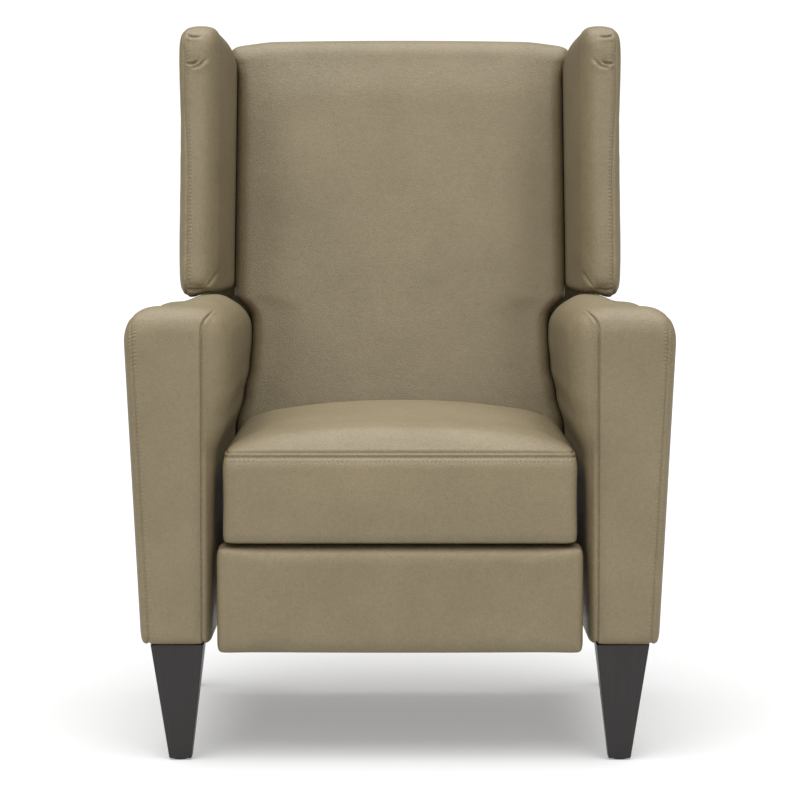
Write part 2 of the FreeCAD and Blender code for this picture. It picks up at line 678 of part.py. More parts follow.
def seat_springs():
    """Four sinuous wires from the front rail to the rear one, in eight clips."""
    wire = size("wire_wide") / 2
    level = size("seat_under") - wire - size("wire_gap")
    lap = size("clip_lap")
    start = size("rail_front") + size("rail_thick") + lap - FLOOR_Y
    end = size("seat_deep") - size("rail_rear") - size("rail_thick") - lap - FLOOR_Y
    pitch = size("spring_pitch")
    swing = size("spring_swing")
    rows = int((end - start - pitch) / pitch)
    lead = (end - start - rows * pitch) / 2
    outer = face_of_plate - size("link_sheet") - size("rail_thick") - size("spring_side")
    springs = []
    clips = []
    for x in (-outer, -outer / 3, outer / 3, outer):
        points = [FreeCAD.Vector(x, start, level), FreeCAD.Vector(x, start + lead, level)]
        way = 1
        for row in range(rows):
            y = start + lead + row * pitch
            points.append(FreeCAD.Vector(x + way * swing, y, level))
            points.append(FreeCAD.Vector(x + way * swing, y + pitch, level))
            way = -way
        points.append(FreeCAD.Vector(x, end - lead, level))
        points.append(FreeCAD.Vector(x, end, level))
        ring = Part.Circle(points[0], FreeCAD.Vector(0, 1, 0), wire).toShape()
        springs.append(bent_path(points, size("spring_bend")).makePipeShell([Part.Wire([ring])], True, True))
        half = size("clip_wide") / 2
        for low in (start - lap, end + lap - size("clip_long")):
            clips.append(box_shape((x - half, low, level - 3 * wire),
                                   (x + half, low + size("clip_long"), size("seat_under"))))
    wires = Part.makeCompound(springs)
    soft("seat_springs", wires)
    soft("spring_clips", Part.makeCompound([clip.cut(wires) for clip in clips]))


def seat_cushion():
    """The seat: a crowned top over the springs and a front that hangs over the rail."""
    half = half_seat
    under = size("seat_under")
    top = under + size("seat_rise")
    lip = size("seat_lip")
    deep = size("seat_deep")
    hem = 16
    front = size("seat_round")
    seat = [(-half, 0, front), (half, 0, front), (half, deep, hem), (-half, deep, hem)]
    crown = shell_of_levels(seat, [(under, 0), (under + size("seat_rise") / 3, 0)]
                            + soft_edge(top, size("seat_rise") / 2, 80, -1)[::-1])
    apron = [(-half, 0, front), (half, 0, front), (half, size("apron_deep"), 6), (-half, size("apron_deep"), 6)]
    below = shell_of_levels(apron, soft_edge(lip, hem, 6))
    face = slab(apron, lip + hem, under + 1)
    inner = face_of_plate - size("link_sheet")
    rail = size("rail_front")
    behind = rail + size("rail_thick")
    room = box_shape((-inner, rail, size("rail_low") - size("rail_drop")), (inner, behind, under))
    room = room.fuse(box_shape((-inner, behind - 1, size("rail_low")), (inner, size("apron_deep") + 1, under)))
    shape = crown.fuse([face, below]).cut(room)
    soft("seat_cushion", laid(shape, ((1, 0, 0), (0, 1, 0), (0, 0, 1)), (0, -FLOOR_Y, 0)))


for name, side in SIDES:
    side_plate(name, side)
slide_shoes()
seat_frame()
seat_springs()
seat_cushion()


# Footrest linkage: flat steel links on rivets, in four layers inside each plate

def layer(number):
    """The inner face of a layer, counted inwards from the carriage plate."""
    return PLATE_IN + " - %d * (link_sheet + link_gap)" % number


def bar(number, start, end, side):
    """A flat bar with round ends between two pins."""
    inner, outer = mirrored((layer(number), layer(number) + " + link_sheet"), side)
    run = "((%s) - (%s))" % (end[0], start[0])
    rise = "((%s) - (%s))" % (end[1], start[1])
    length = "sqrt(%s ^ 2 + %s ^ 2)" % (run, rise)
    flat = doc.addObject("Part::Box", "Flat")
    flat.Placement = FreeCAD.Placement(FreeCAD.Vector(), FreeCAD.Rotation(FreeCAD.Vector(1, 0, 0), 10))
    bind(flat, Length="link_sheet", Width=length, Height="2 * link_round")
    flat.setExpression("Placement.Rotation.Angle", formula("atan2(%s; %s)" % (rise, run)))
    put(flat, inner, "(%s) + link_round * %s / %s" % (start[0], rise, length),
        "(%s) - link_round * %s / %s" % (start[1], run, length))
    ends = [rod_across((layer(number), layer(number) + " + link_sheet"), pin[0], pin[1], "link_round", side)
            for pin in (start, end)]
    return joined([flat] + ends)


def link(label, number, side, bars, holes, more=()):
    """A link made of bars in one layer, drilled for its pins."""
    pieces = [bar(number, start, end, side) for start, end in bars] + list(more)
    inner = layer(number) + " - link_gap"
    outer = layer(number) + " + link_sheet + link_gap"
    drills = [rod_across((inner, outer), pin[0], pin[1], radius, side) for pin, radius in holes]
    solid = joined(pieces) if len(pieces) > 1 else pieces[0]
    return keep(cut(solid, joined(drills)), label)


def pin(first, last, place, side):
    """A rivet through layers, flush with both outer faces; layer 0 is the plate."""
    return rod_across((layer(last), layer(first) + " + link_sheet"), place[0], place[1], TIGHT, side)


def linkage(name, side):
    """The links of one side, folded as they are when the footrest is closed."""
    link("main_link_" + name, 2, side, [(MAIN_PIN, JOINT), (JOINT, CONTROL_PIN), (MAIN_PIN, ROD)],
         [(MAIN_PIN, TURNING), (JOINT, TIGHT), (CONTROL_PIN, TIGHT)])
    link("idler_" + name, 4, side, [(IDLER_PIN, IDLER_JOINT)],
         [(IDLER_PIN, TURNING), (IDLER_JOINT, TURNING + " + idler_slack")])
    link("coupler_" + name, 3, side, [(REST_PIN, JOINT), (JOINT, IDLER_JOINT)],
         [(REST_PIN, TIGHT), (JOINT, TURNING), (IDLER_JOINT, TIGHT)])
    link("control_link_" + name, 1, side, [(CONTROL_PIN, REST_EAR)],
         [(CONTROL_PIN, TURNING), (REST_EAR, TURNING + " + control_slack")])
    up = ("rest_pin_high - tab_below", "rest_pin_high + tab_above")
    tab = block((layer(2), layer(2) + " + link_sheet"), ("rest_thick", "rest_pin_deep + tab_lap"), up, side)
    flange = block((layer(2), layer(2) + " + flange_wide"), ("rest_thick", "rest_thick + flange_sheet"), up, side)
    link("rest_bracket_" + name, 2, side, [(REST_PIN, REST_EAR)],
         [(REST_PIN, TURNING), (REST_EAR, TIGHT)], [tab, flange])
    keep(grouped([pin(2, 3, REST_PIN, side), pin(3, 4, IDLER_JOINT, side)]), "coupler_pins_" + name)


def shared_pins():
    """The rivets of the plates, of the main links and of the footrest, both sides together."""
    carriage = []
    main = []
    rest = []
    for name, side in SIDES:
        carriage.append(pin(0, 2, MAIN_PIN, side))
        carriage.append(pin(0, 4, IDLER_PIN, side))
        main.append(pin(2, 3, JOINT, side))
        main.append(pin(1, 2, CONTROL_PIN, side))
        rest.append(pin(1, 2, REST_EAR, side))
    keep(grouped(carriage), "carriage_pins")
    keep(grouped(main), "main_link_pins")
    keep(grouped(rest), "rest_pins")
    keep(rod_across(("-(%s)" % layer(2), layer(2)), ROD[0], ROD[1], "rod_wide / 2"), "cross_rod")


def footrest():
    """The footrest board and the padded cover that is drawn over it."""
    board_half = SEAT_HALF + " + rest_more - board_in"
    keep(block(("-(%s)" % board_half, board_half), ("rest_thick - plywood", "rest_thick"),
               ("rest_low + board_in", "rest_top - board_in")), "rest_board")
    half = half_seat + size("rest_more")
    low = size("rest_low")
    top = size("rest_top")
    thick = size("rest_thick")
    inset = size("board_in")
    face = [(-half, low, 16), (half, low, 16), (half, top, 12), (-half, top, 12)]
    pad = shell_of_levels(face, [(-thick, 2), (-thick + 6, 0)] + soft_edge(-3, 24, 34, -1)[::-1])
    room = box_shape((-half + inset, low + inset, -thick), (half - inset, top - inset, -thick + size("plywood")))
    soft("rest_pad", laid(pad.cut(room), ((1, 0, 0), (0, 0, 1), (0, -1, 0)), (0, -FLOOR_Y, 0)))


for name, side in SIDES:
    linkage(name, side)
shared_pins()
footrest()


# Back: a leaning timber frame, its straps, cushion and outside, and the two wings

STILE_OUT = PLATE_IN + " - stile_gap"
STILE_IN = STILE_OUT + " - stile_wide"
FRAME_DEPTH = ("-frame_fore", "timber - frame_fore")
FRAME_TOP = "back_long - back_foam"
lean_angle = math.radians(size("lean"))
half_back = size("width_all") / 2 - size("wing_inset") - size("wing_thick")
frame_near = -size("frame_fore")
frame_far = size("timber") - size("frame_fore")


def leaned(span, out, along, side=1):
    """A timber square to the lean: out is counted rearwards and along upwards from the hinge."""
    low, high = mirrored(span, side)
    box = doc.addObject("Part::Box", "Leaned")
    box.Placement = FreeCAD.Placement(FreeCAD.Vector(), FreeCAD.Rotation(FreeCAD.Vector(-1, 0, 0), 10))
    bind(box, Length="(%s) - (%s)" % (high, low), Width="(%s) - (%s)" % (out[1], out[0]),
         Height="(%s) - (%s)" % (along[1], along[0]))
    box.setExpression("Placement.Rotation.Angle", formula("lean"))
    put(box, low, "hinge_deep + (%s) * cos(lean) + (%s) * sin(lean)" % (out[0], along[0]),
        "hinge_high - (%s) * sin(lean) + (%s) * cos(lean)" % (out[0], along[0]))
    return box


def on_back(shape):
    """Lays a shape drawn as across, along, out onto the leaning back."""
    c = math.cos(lean_angle)
    s = math.sin(lean_angle)
    return laid(shape, ((1, 0, 0), (0, s, c), (0, c, -s)),
                (0, size("hinge_deep") - FLOOR_Y, size("hinge_high")))


def back_bracket(side):
    """The steel bracket of one stile: a strip with a round eye at the hinge."""
    across = (STILE_OUT, STILE_OUT + " + link_sheet")
    strip = leaned(across, FRAME_DEPTH, ("0", "bracket_long"), side)
    eye = rod_across(across, HINGE[0], HINGE[1], "eye_wide / 2", side)
    drill = rod_across((STILE_OUT + " - link_gap", STILE_OUT + " + link_sheet + link_gap"),
                       HINGE[0], HINGE[1], "hinge_wide / 2", side)
    return cut(joined([strip, eye]), drill)


def spaced(first, last, count):
    """Even places for straps between two rails."""
    gap = "((%s) - (%s) - %d * strap_wide) / %d" % (last, first, count, count + 1)
    return ["%s + %d * (%s) + %d * strap_wide" % (first, index + 1, gap, index) for index in range(count)]


def back_frame():
    """Stiles, rails, brackets, hinge pins and straps."""
    pins = []
    for name, side in SIDES:
        keep(leaned((STILE_IN, STILE_OUT), FRAME_DEPTH, ("-stile_foot", FRAME_TOP), side), "back_stile_" + name)
        keep(back_bracket(side), "back_bracket_" + name)
        pins.append(rod_across((STILE_OUT, PLATE_OUT), HINGE[0], HINGE[1], "hinge_wide / 2", side))
    keep(grouped(pins), "hinge_pins")
    between = ("-(%s)" % STILE_IN, STILE_IN)
    keep(grouped([leaned(between, FRAME_DEPTH, (start, start + " + timber"))
                  for start in ("rail_first", "rail_second", FRAME_TOP + " - timber")]), "back_rails")
    places = spaced("rail_first + timber", "rail_second", 3)
    places += spaced("rail_second + timber", FRAME_TOP + " - timber", 2)
    keep(grouped([leaned(("-(%s)" % STILE_OUT, STILE_OUT), ("-frame_fore - strap_thick", "-frame_fore"),
                         (start, start + " + strap_wide")) for start in places]), "back_straps")


def back_outline(shoulder, foot_round):
    """The back seen square to its lean: narrow between the arms, wide between the wings."""
    waist = inside_of_arm - size("waist_in")
    foot = inside_of_arm - size("back_tuck")
    low = size("back_foot")
    long = size("back_long")
    up = size("waist_up")
    return [(-foot, low, foot_round), (foot, low, foot_round), (waist, up, 60), (waist, shoulder, 12),
            (half_back, shoulder, 16), (half_back, long, 30), (-half_back, long, 30),
            (-half_back, shoulder, 16), (-waist, shoulder, 12), (-waist, up, 60)]


def back_cushion():
    """The back cushion, crowned all round, hollow where it goes round the frame."""
    fore = size("back_fore")
    deep = fore + frame_far
    rows = soft_edge(0, 30, 13) + [(85, 0), (deep - 10, 0), (deep, 2)]
    sections = []
    for out, inset in rows:
        outline = back_outline(size("shoulder_up") + size("shoulder_rise") * out / deep, 22)
        sections.append((moved_in(outline, inset), out - fore))
    low = -size("stile_foot") - 6
    top = size("back_long") - size("back_foam")
    room = box_shape((-stile_side, low, frame_near - size("strap_thick") - 0.5), (stile_side, top, deep))
    plate = stile_side + size("link_sheet")
    room = room.fuse(box_shape((-plate, low, frame_near), (plate, size("bracket_long"), deep)))
    for start in (size("rail_second"), top - size("stub_high")):
        room = room.fuse(box_shape((-half_back - 1, start, frame_near),
                                   (half_back + 1, start + size("stub_high"), frame_near + size("stub_deep"))))
    soft("back_cushion", on_back(loft(sections).cut(room)))


def outside_back():
    """The padded board that closes the back from behind."""
    waist = inside_of_arm - size("waist_in") - size("outside_in")
    half = half_back + size("wing_thick") - 4
    top = size("back_long") + size("outside_over")
    low = size("outside_foot")
    shoulder = size("outside_shoulder")
    corners = [(-waist, low, 12), (waist, low, 12), (waist, shoulder, 12), (half, shoulder, 20), (half, top, 34),
               (-half, top, 34), (-half, shoulder, 20), (-waist, shoulder, 12)]
    thick = size("back_aft") - frame_far
    levels = soft_edge(size("back_aft"), thick, 8, -1)[::-1]
    soft("outside_back", on_back(shell_of_levels(corners, levels)))


def wing_outline():
    """The side view of a wing as depth and height, anticlockwise."""
    c = math.cos(lean_angle)
    s = math.sin(lean_angle)

    def place(along):
        return (size("hinge_deep") + frame_far * c + along * s, size("hinge_high") - frame_far * s + along * c)

    fore = size("wing_fore")
    return [(fore, size("wing_low"), 26), place(size("wing_rear_up")) + (16,),
            place(size("back_long") + size("wing_over")) + (30,),
            (fore + size("wing_rake"), size("height_all"), 46)]


def wing(name, side):
    """One wing: a board on two stubs from the stile, inside a padded cover."""
    inner = half_back
    outer = inner + size("wing_thick")
    outline = wing_outline()
    foam = size("wing_foam")
    pad = shell_of_levels(outline, soft_edge(inner, foam, 9) + soft_edge(outer, foam, 12, -1)[::-1])
    board_near = inner + size("board_side")
    blunt = [(d, z, r + foam - 2) for d, z, r in outline]
    board = slab(moved_in(blunt, foam), board_near, board_near + size("board_thick"))
    lay = ((0, 1, 0), (0, 0, 1), (side, 0, 0))
    base = (0, -FLOOR_Y, 0)
    stubs = []
    top = size("back_long") - size("back_foam")
    for start in (size("rail_second"), top - size("stub_high")):
        stub = box_shape((stile_side, start, frame_near),
                         (board_near, start + size("stub_high"), frame_near + size("stub_deep")))
        if side < 0:
            stub = stub.mirror(FreeCAD.Vector(), FreeCAD.Vector(1, 0, 0))
        stubs.append(on_back(stub))
    frame = laid(board, lay, base).fuse(stubs)
    soft("wing_frame_" + name, frame)
    soft("wing_pad_" + name, laid(pad, lay, base).cut(frame))


back_frame()
back_cushion()
outside_back()
for name, side in SIDES:
    wing(name, side)



# writing every sub-part

doc.recompute()
os.makedirs("parts", exist_ok=True)
for thing in nodes:
    bad = [word for word in thing.State if word in ("Invalid", "Error")]
    if bad or thing.Shape.isNull() or not thing.Shape.isValid():
        raise SystemExit("%s did not build: %s" % (thing.Label, thing.State))
    thing.Shape.exportStep("parts/%s.step" % thing.Label)
print(len(nodes), "sub-parts written")
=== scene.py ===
import json
import math

import bmesh
import bpy
from mathutils import Matrix, Vector
from mathutils.bvhtree import BVHTree


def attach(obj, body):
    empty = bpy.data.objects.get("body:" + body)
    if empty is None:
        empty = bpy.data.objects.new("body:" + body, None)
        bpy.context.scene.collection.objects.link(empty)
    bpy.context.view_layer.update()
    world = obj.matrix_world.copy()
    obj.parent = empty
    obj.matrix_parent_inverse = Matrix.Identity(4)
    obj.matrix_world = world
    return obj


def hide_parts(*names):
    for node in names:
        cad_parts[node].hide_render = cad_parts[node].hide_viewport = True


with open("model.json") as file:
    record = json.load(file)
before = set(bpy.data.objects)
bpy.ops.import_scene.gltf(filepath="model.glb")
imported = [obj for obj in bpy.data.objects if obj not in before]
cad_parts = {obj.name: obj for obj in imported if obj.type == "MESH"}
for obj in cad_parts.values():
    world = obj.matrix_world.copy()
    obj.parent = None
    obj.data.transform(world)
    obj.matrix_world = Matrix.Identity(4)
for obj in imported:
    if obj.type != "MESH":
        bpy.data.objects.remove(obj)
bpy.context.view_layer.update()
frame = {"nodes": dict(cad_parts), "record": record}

# Arms.
# The arms are padded boxes: a timber frame under foam and a hide cover. A front panel rolls over
# the top and is sewn to the outer side and to the pad that swells inwards over the seat.

ARM_FRONT = -0.436
ARM_REAR = 0.210
ARM_FOOT = 0.172
ARM_TOP = 0.6675
ARM_OUT = 0.4025
ARM_IN = 0.2445
ARM_OUT_FOOT = -0.0225
ARM_BULGE = 0.62
ARM_IN_STEPS = ((0.172, 0.0310), (0.300, 0.0285), (0.445, 0.0250), (0.500, 0.0120), (0.545, 0.0032),
                (0.590, 0.0), (0.640, 0.0))
ARM_ROLL_FROM = 0.56
ARM_CROWN = 0.0034
ARM_CROWN_AT = 0.285
ARM_CROWN_WIDE = 0.034
ARM_TILT = 0.0092
ARM_TILT_FROM = 0.312
ARM_TILT_TO = 0.346
ARM_FALL = 0.020
ARM_FALL_FROM = -0.04
ARM_PANEL_SWELL = 0.0025
ARM_PANEL_MIDDLE = 0.335
ARM_SEAM_INSET = 0.0125
ARM_SEAM_IN = 0.288
ARM_SEAM_BEND = 0.632
ARM_SEAM_END = 0.661
ARM_SEAM_LEAN = 0.017
ARM_SEAM_DEEP = 0.0030
ARM_RIDGE = 0.0008
ARM_STITCH_OFF = 0.0048
ARM_STITCH_END = 0.65
ARM_OUTER_SEAM_DEEP = 0.0022
ARM_GATHER_PITCH = 0.0058
ARM_GATHER_OFF = 0.004
ARM_GATHER_WIDE = 0.0034
ARM_OUTER_ROLL = 0.046
ARM_INNER_ROLL = 0.052
ARM_FRONT_ROLL = 0.040
ARM_REAR_ROLL = 0.016
ARM_INNER_CORNER = 0.046
ARM_OUTER_CORNER = 0.016
ARM_REAR_CORNER = 0.014
ARM_HEM_ROLL = 0.010
ARM_VOXEL = 0.0065
STITCH_PITCH = 0.0062
STITCH_WIDE = 0.0007
STITCH_HIGH = 0.0005
SKIN_SMOOTHING = 6
EDGE_SEGMENTS = 8

LEATHER_LIGHT = (0.191, 0.153, 0.088, 1)
LEATHER_DARK = (0.155, 0.123, 0.069, 1)
LEATHER_PORE = (0.080, 0.0615, 0.0335, 1)
THREAD = (0.122, 0.099, 0.059, 1)


class Link:
    """A socket of a material, on which sums are written as plain expressions."""

    def __init__(self, tree, socket):
        self.tree = tree
        self.socket = socket

    def node(self, kind, settings, values, output=0):
        """Adds a node, sets it up, and feeds its sockets with numbers, colours or links."""
        made = self.tree.nodes.new(kind)
        for name, value in settings.items():
            if name == "stops":
                ramp = made.color_ramp.elements
                while len(ramp) < len(value):
                    ramp.new(0.5)
                for stop, (place, colour) in zip(ramp, value):
                    stop.position = place
                    stop.color = colour
            else:
                setattr(made, name, value)
        for name, value in values.items():
            if isinstance(value, Link):
                self.tree.links.new(value.socket, made.inputs[name])
            elif value is not None:
                made.inputs[name].default_value = value
        return Link(self.tree, made.outputs[output])

    def sum(self, operation, first, second=None):
        """Adds a Math node for one sum."""
        return self.node("ShaderNodeMath", {"operation": operation}, {0: first, 1: second})

    def __add__(self, other):
        return self.sum("ADD", self, other)

    __radd__ = __add__

    def __sub__(self, other):
        return self.sum("SUBTRACT", self, other)

    def __rsub__(self, other):
        return self.sum("SUBTRACT", other, self)

    def __mul__(self, other):
        return self.sum("MULTIPLY", self, other)

    __rmul__ = __mul__

    def tint(self, first, second):
        """Mixes two colours by this value."""
        return self.node("ShaderNodeMix", {"data_type": "RGBA"}, {"Factor": self, 6: first, 7: second}, 2)

    def span(self, low, high):
        """Stretches a part of this value's range to 0 and 1."""
        return self.node("ShaderNodeMapRange", {}, {"Value": self, "From Min": low, "From Max": high})

    def relief(self, strength, distance):
        """Turns this height into a bumped normal."""
        return self.node("ShaderNodeBump", {}, {"Height": self, "Strength": strength, "Distance": distance})


def start_finish(name):
    """Opens a new material and gives its surface shader and Object coordinates."""
    finish = bpy.data.materials.new(name)
    finish.use_nodes = True
    tree = finish.node_tree
    shader = tree.nodes["Principled BSDF"]
    place = Link(tree, tree.nodes.new("ShaderNodeTexCoord").outputs["Object"])
    return finish, shader, place


def feed(shader, **values):
    """Sets sockets of the surface shader, or links them; an underscore stands for a space."""
    for name, value in values.items():
        socket = shader.inputs[name.replace("_", " ")]
        if isinstance(value, Link):
            value.tree.links.new(value.socket, socket)
        else:
            socket.default_value = value


def hide_finish():
    """Olive taupe hide: fine pebbled grain, pores, soft creases and a faintly cloudy dye."""
    finish, shader, place = start_finish("olive_hide")
    noise = "ShaderNodeTexNoise"
    cells = "ShaderNodeTexVoronoi"
    cloud = place.node(noise, {}, {"Vector": place, "Scale": 9.0, "Detail": 5.0, "Roughness": 0.6})
    mottle = place.node(noise, {}, {"Vector": place, "Scale": 130.0, "Detail": 4.0, "Roughness": 0.7})
    pebble = place.node(cells, {"feature": "SMOOTH_F1"},
                        {"Vector": place, "Scale": 420.0, "Smoothness": 0.4})
    pore = place.node(cells, {"feature": "DISTANCE_TO_EDGE"}, {"Vector": place, "Scale": 330.0})
    crease = place.node(noise, {}, {"Vector": place, "Scale": 55.0, "Detail": 6.0, "Roughness": 0.6,
                                    "Distortion": 1.8})
    cracks = pore.span(0.0, 0.18)
    shade = (cloud * 0.6 + mottle * 0.4).span(0.34, 0.66)
    dyed = shade.tint(LEATHER_DARK, LEATHER_LIGHT)
    worn = (cracks * 0.3 + 0.7).tint(LEATHER_PORE, dyed)
    height = pebble * -0.8 + cracks * 0.4 + crease * 0.9 + mottle * 0.5
    feed(shader, Base_Color=worn, Roughness=0.54 - mottle * 0.14 + (1 - cracks) * 0.10,
         Specular_IOR_Level=0.40, Normal=height.relief(0.36, 0.0010))
    return finish


def thread_finish():
    """Twisted polyester thread in the colour of the hide."""
    finish, shader, place = start_finish("sewing_thread")
    twist = place.node("ShaderNodeTexWave", {"bands_direction": "DIAGONAL"},
                       {"Vector": place, "Scale": 420.0})
    feed(shader, Base_Color=twist.tint(THREAD, LEATHER_DARK), Roughness=0.5 + twist * 0.15,
         Normal=twist.relief(0.3, 0.0002))
    return finish


hide = hide_finish()
thread = thread_finish()


def let_go():
    """Leaves edit mode and deselects everything."""
    if bpy.context.object and bpy.context.object.mode != "OBJECT":
        bpy.ops.object.mode_set(mode="OBJECT")
    bpy.ops.object.select_all(action="DESELECT")


def take(piece):
    """Makes a piece the only one selected, and the active one."""
    let_go()
    piece.select_set(True)
    bpy.context.view_layer.objects.active = piece


def add_block(name, low, high):
    """Adds a cube between two corners and opens it for editing."""
    let_go()
    middle = [(a + b) / 2 for a, b in zip(low, high)]
    bpy.ops.mesh.primitive_cube_add(size=1, location=middle)
    piece = bpy.context.object
    piece.name = name
    piece.scale = [b - a for a, b in zip(low, high)]
    bpy.ops.object.transform_apply(location=True, rotation=True, scale=True)
    bpy.ops.object.mode_set(mode="EDIT")
    return piece


def pick(kind, test):
    """Selects the vertices, edges or faces of the open piece that pass a test on their place."""
    bpy.ops.mesh.select_mode(type=kind)
    bpy.ops.mesh.select_all(action="DESELECT")
    mesh = bmesh.from_edit_mesh(bpy.context.object.data)
    if kind == "VERT":
        for vertex in mesh.verts:
            vertex.select_set(bool(test(vertex.co)))
    elif kind == "EDGE":
        for edge in mesh.edges:
            if test(edge.verts[0].co, edge.verts[1].co):
                edge.select_set(True)
    else:
        for face in mesh.faces:
            if test(face.calc_center_median(), face.normal):
                face.select_set(True)
    mesh.select_flush_mode()
    bmesh.update_edit_mesh(bpy.context.object.data)


def use(piece, kind, **settings):
    """Adds a modifier to a piece, sets it up and applies it."""
    take(piece)
    change = piece.modifiers.new(kind.lower(), kind)
    for name, value in settings.items():
        setattr(change, name, value)
    bpy.ops.object.modifier_apply(modifier=change.name)


def soften(piece, *widths):
    """Rounds edges by widths of their own: each pair is a test on an edge's two ends and a width."""
    let_go()
    mesh = piece.data
    weights = mesh.attributes.get("bevel_weight_edge")
    weights = weights or mesh.attributes.new("bevel_weight_edge", "FLOAT", "EDGE")
    widest = max(width for test, width in widths)
    for edge in mesh.edges:
        ends = [mesh.vertices[corner].co for corner in edge.vertices]
        weights.data[edge.index].value = 0.0
        for test, width in widths:
            if test(*ends):
                weights.data[edge.index].value = width / widest
    use(piece, "BEVEL", limit_method="WEIGHT", width=widest, segments=EDGE_SEGMENTS,
        use_clamp_overlap=False)


def near(value, place, within=0.0006):
    """Whether a value is at a place, give or take a hair."""
    return abs(value - place) < within


def both(axis, place, within=0.0006):
    """A test on an edge: both of its ends lie at a place on an axis."""
    return lambda a, b: near(a[axis], place, within) and near(b[axis], place, within)


def remesh(piece, voxel):
    """Gives a closed piece an even skin of small quads."""
    use(piece, "REMESH", mode="VOXEL", voxel_size=voxel)
    use(piece, "SMOOTH", iterations=SKIN_SMOOTHING, factor=0.5)


def refine(piece):
    """Adds one subdivision and smooth shading."""
    use(piece, "SUBSURF", levels=1, render_levels=1)
    bpy.ops.object.shade_smooth()


def refine_by(piece, test, cuts=1):
    """Splits the faces near a seam further, so that the seam can be narrow."""
    take(piece)
    bpy.ops.object.mode_set(mode="EDIT")
    pick("FACE", lambda c, n: test(c))
    bpy.ops.mesh.subdivide(number_cuts=cuts, smoothness=0)
    bpy.ops.object.mode_set(mode="OBJECT")


def shaped(piece, change):
    """Moves every vertex of a piece by a rule on its place and normal."""
    mesh = piece.data
    normals = [vertex.normal.copy() for vertex in mesh.vertices]
    for vertex, normal in zip(mesh.vertices, normals):
        vertex.co = change(vertex.co.copy(), normal)
    mesh.update()


def bell(distance, width):
    """A smooth hump: 1 in its middle, and dying away over a width."""
    return math.exp(-(distance / width) ** 2)


def ease(value, low, high):
    """Runs smoothly from 0 to 1 between two values."""
    t = min(1.0, max(0.0, (value - low) / (high - low)))
    return t * t * (3 - 2 * t)


def along_steps(value, steps):
    """Reads a smooth line through pairs of place and amount."""
    if value <= steps[0][0]:
        return steps[0][1]
    for (place, amount), (next_place, next_amount) in zip(steps, steps[1:]):
        if value <= next_place:
            return amount + (next_amount - amount) * ease(value, place, next_place)
    return steps[-1][1]


def pucker(along, off, pitch, width):
    """The small gathers that a stitch pulls into hide, strongest right beside it."""
    return (0.5 + 0.5 * math.sin(along * 2 * math.pi / pitch)) * bell(off, width)


def mirrored_copy(piece, name):
    """Copies a piece to the other side of the chair."""
    let_go()
    twin = piece.copy()
    twin.data = piece.data.copy()
    twin.name = name
    bpy.context.collection.objects.link(twin)
    twin.data.transform(Matrix.Scale(-1, 4, (1, 0, 0)))
    twin.data.flip_normals()
    return twin


def cover(piece, body, full, *nodes):
    """Dresses a padded piece in hide and says which body carries it and which nodes it covers."""
    piece.data.materials.clear()
    piece.data.materials.append(hide)
    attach(piece, body)
    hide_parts(*nodes)


def sew(name, piece, line, pitch=STITCH_PITCH):
    """Lays a row of thread stitches on a piece along a line of points."""
    skin = BVHTree.FromObject(piece, bpy.context.evaluated_depsgraph_get())
    let_go()
    bpy.ops.mesh.primitive_uv_sphere_add(segments=6, ring_count=4, radius=1)
    stitch = bpy.context.object
    size = Matrix.Diagonal((pitch * 0.38, STITCH_WIDE, STITCH_HIGH, 1))
    rows = bmesh.new()
    walked = 0.0
    for start, end in zip(line, line[1:]):
        gap = (end - start).length
        while walked < gap:
            spot, normal, face, off = skin.find_nearest(start.lerp(end, walked / gap))
            along = (end - start).normalized()
            along = (along - normal * along.dot(normal)).normalized()
            turn = Matrix((along, normal.cross(along), normal)).transposed().to_4x4()
            loop = stitch.data.copy()
            loop.transform(Matrix.Translation(spot) @ turn @ size)
            rows.from_mesh(loop)
            bpy.data.meshes.remove(loop)
            walked += pitch
        walked -= gap
    bpy.data.objects.remove(stitch)
    mesh = bpy.data.meshes.new(name)
    rows.to_mesh(mesh)
    rows.free()
    mesh.materials.append(thread)
    sewn = bpy.data.objects.new(name, mesh)
    bpy.context.collection.objects.link(sewn)
    take(sewn)
    bpy.ops.object.shade_smooth()
    return sewn


def fasten(sewn, body):
    """Makes a row of stitches go with the body that carries its hide."""
    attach(sewn, body)


def arm_seam_in(z):
    """Where the inner seam of the front panel runs at a height: straight, then bent inwards."""
    bend = max(0.0, (z - ARM_SEAM_BEND) / (ARM_SEAM_END - ARM_SEAM_BEND))
    return ARM_SEAM_IN - ARM_SEAM_LEAN * min(bend, 1.2) ** 2.3


def arm_outer(z):
    """How far out the outer side stands at a height, below its rounded top."""
    return ARM_OUT + ARM_OUT_FOOT * (1 - min(1.0, (z - ARM_FOOT) / (ARM_BULGE - ARM_FOOT)))


def arm_form(place, normal):
    """Leans both sides, crowns the top and lets it fall away to the rear."""
    x, y, z = place
    share = (x - ARM_IN) / (ARM_OUT - ARM_IN)
    lean = (1 - share) * along_steps(z, ARM_IN_STEPS) + share * (arm_outer(z) - ARM_OUT)
    high = ease(z, ARM_ROLL_FROM, ARM_TOP)
    behind = ease(y - ARM_FRONT, 0.03, 0.16)
    z += ARM_CROWN * high * bell(x - ARM_CROWN_AT, ARM_CROWN_WIDE) * behind
    z -= ARM_TILT * high * ease(x, ARM_TILT_FROM, ARM_TILT_TO) * behind
    z -= ARM_FALL * high * max(0.0, (y - ARM_FALL_FROM) / (ARM_REAR - ARM_FALL_FROM))
    if normal.y < -0.3:
        y -= ARM_PANEL_SWELL * bell(x - ARM_PANEL_MIDDLE, 0.05) * (1 - ease(z, 0.58, 0.66))
    return Vector((x + lean, y, z))


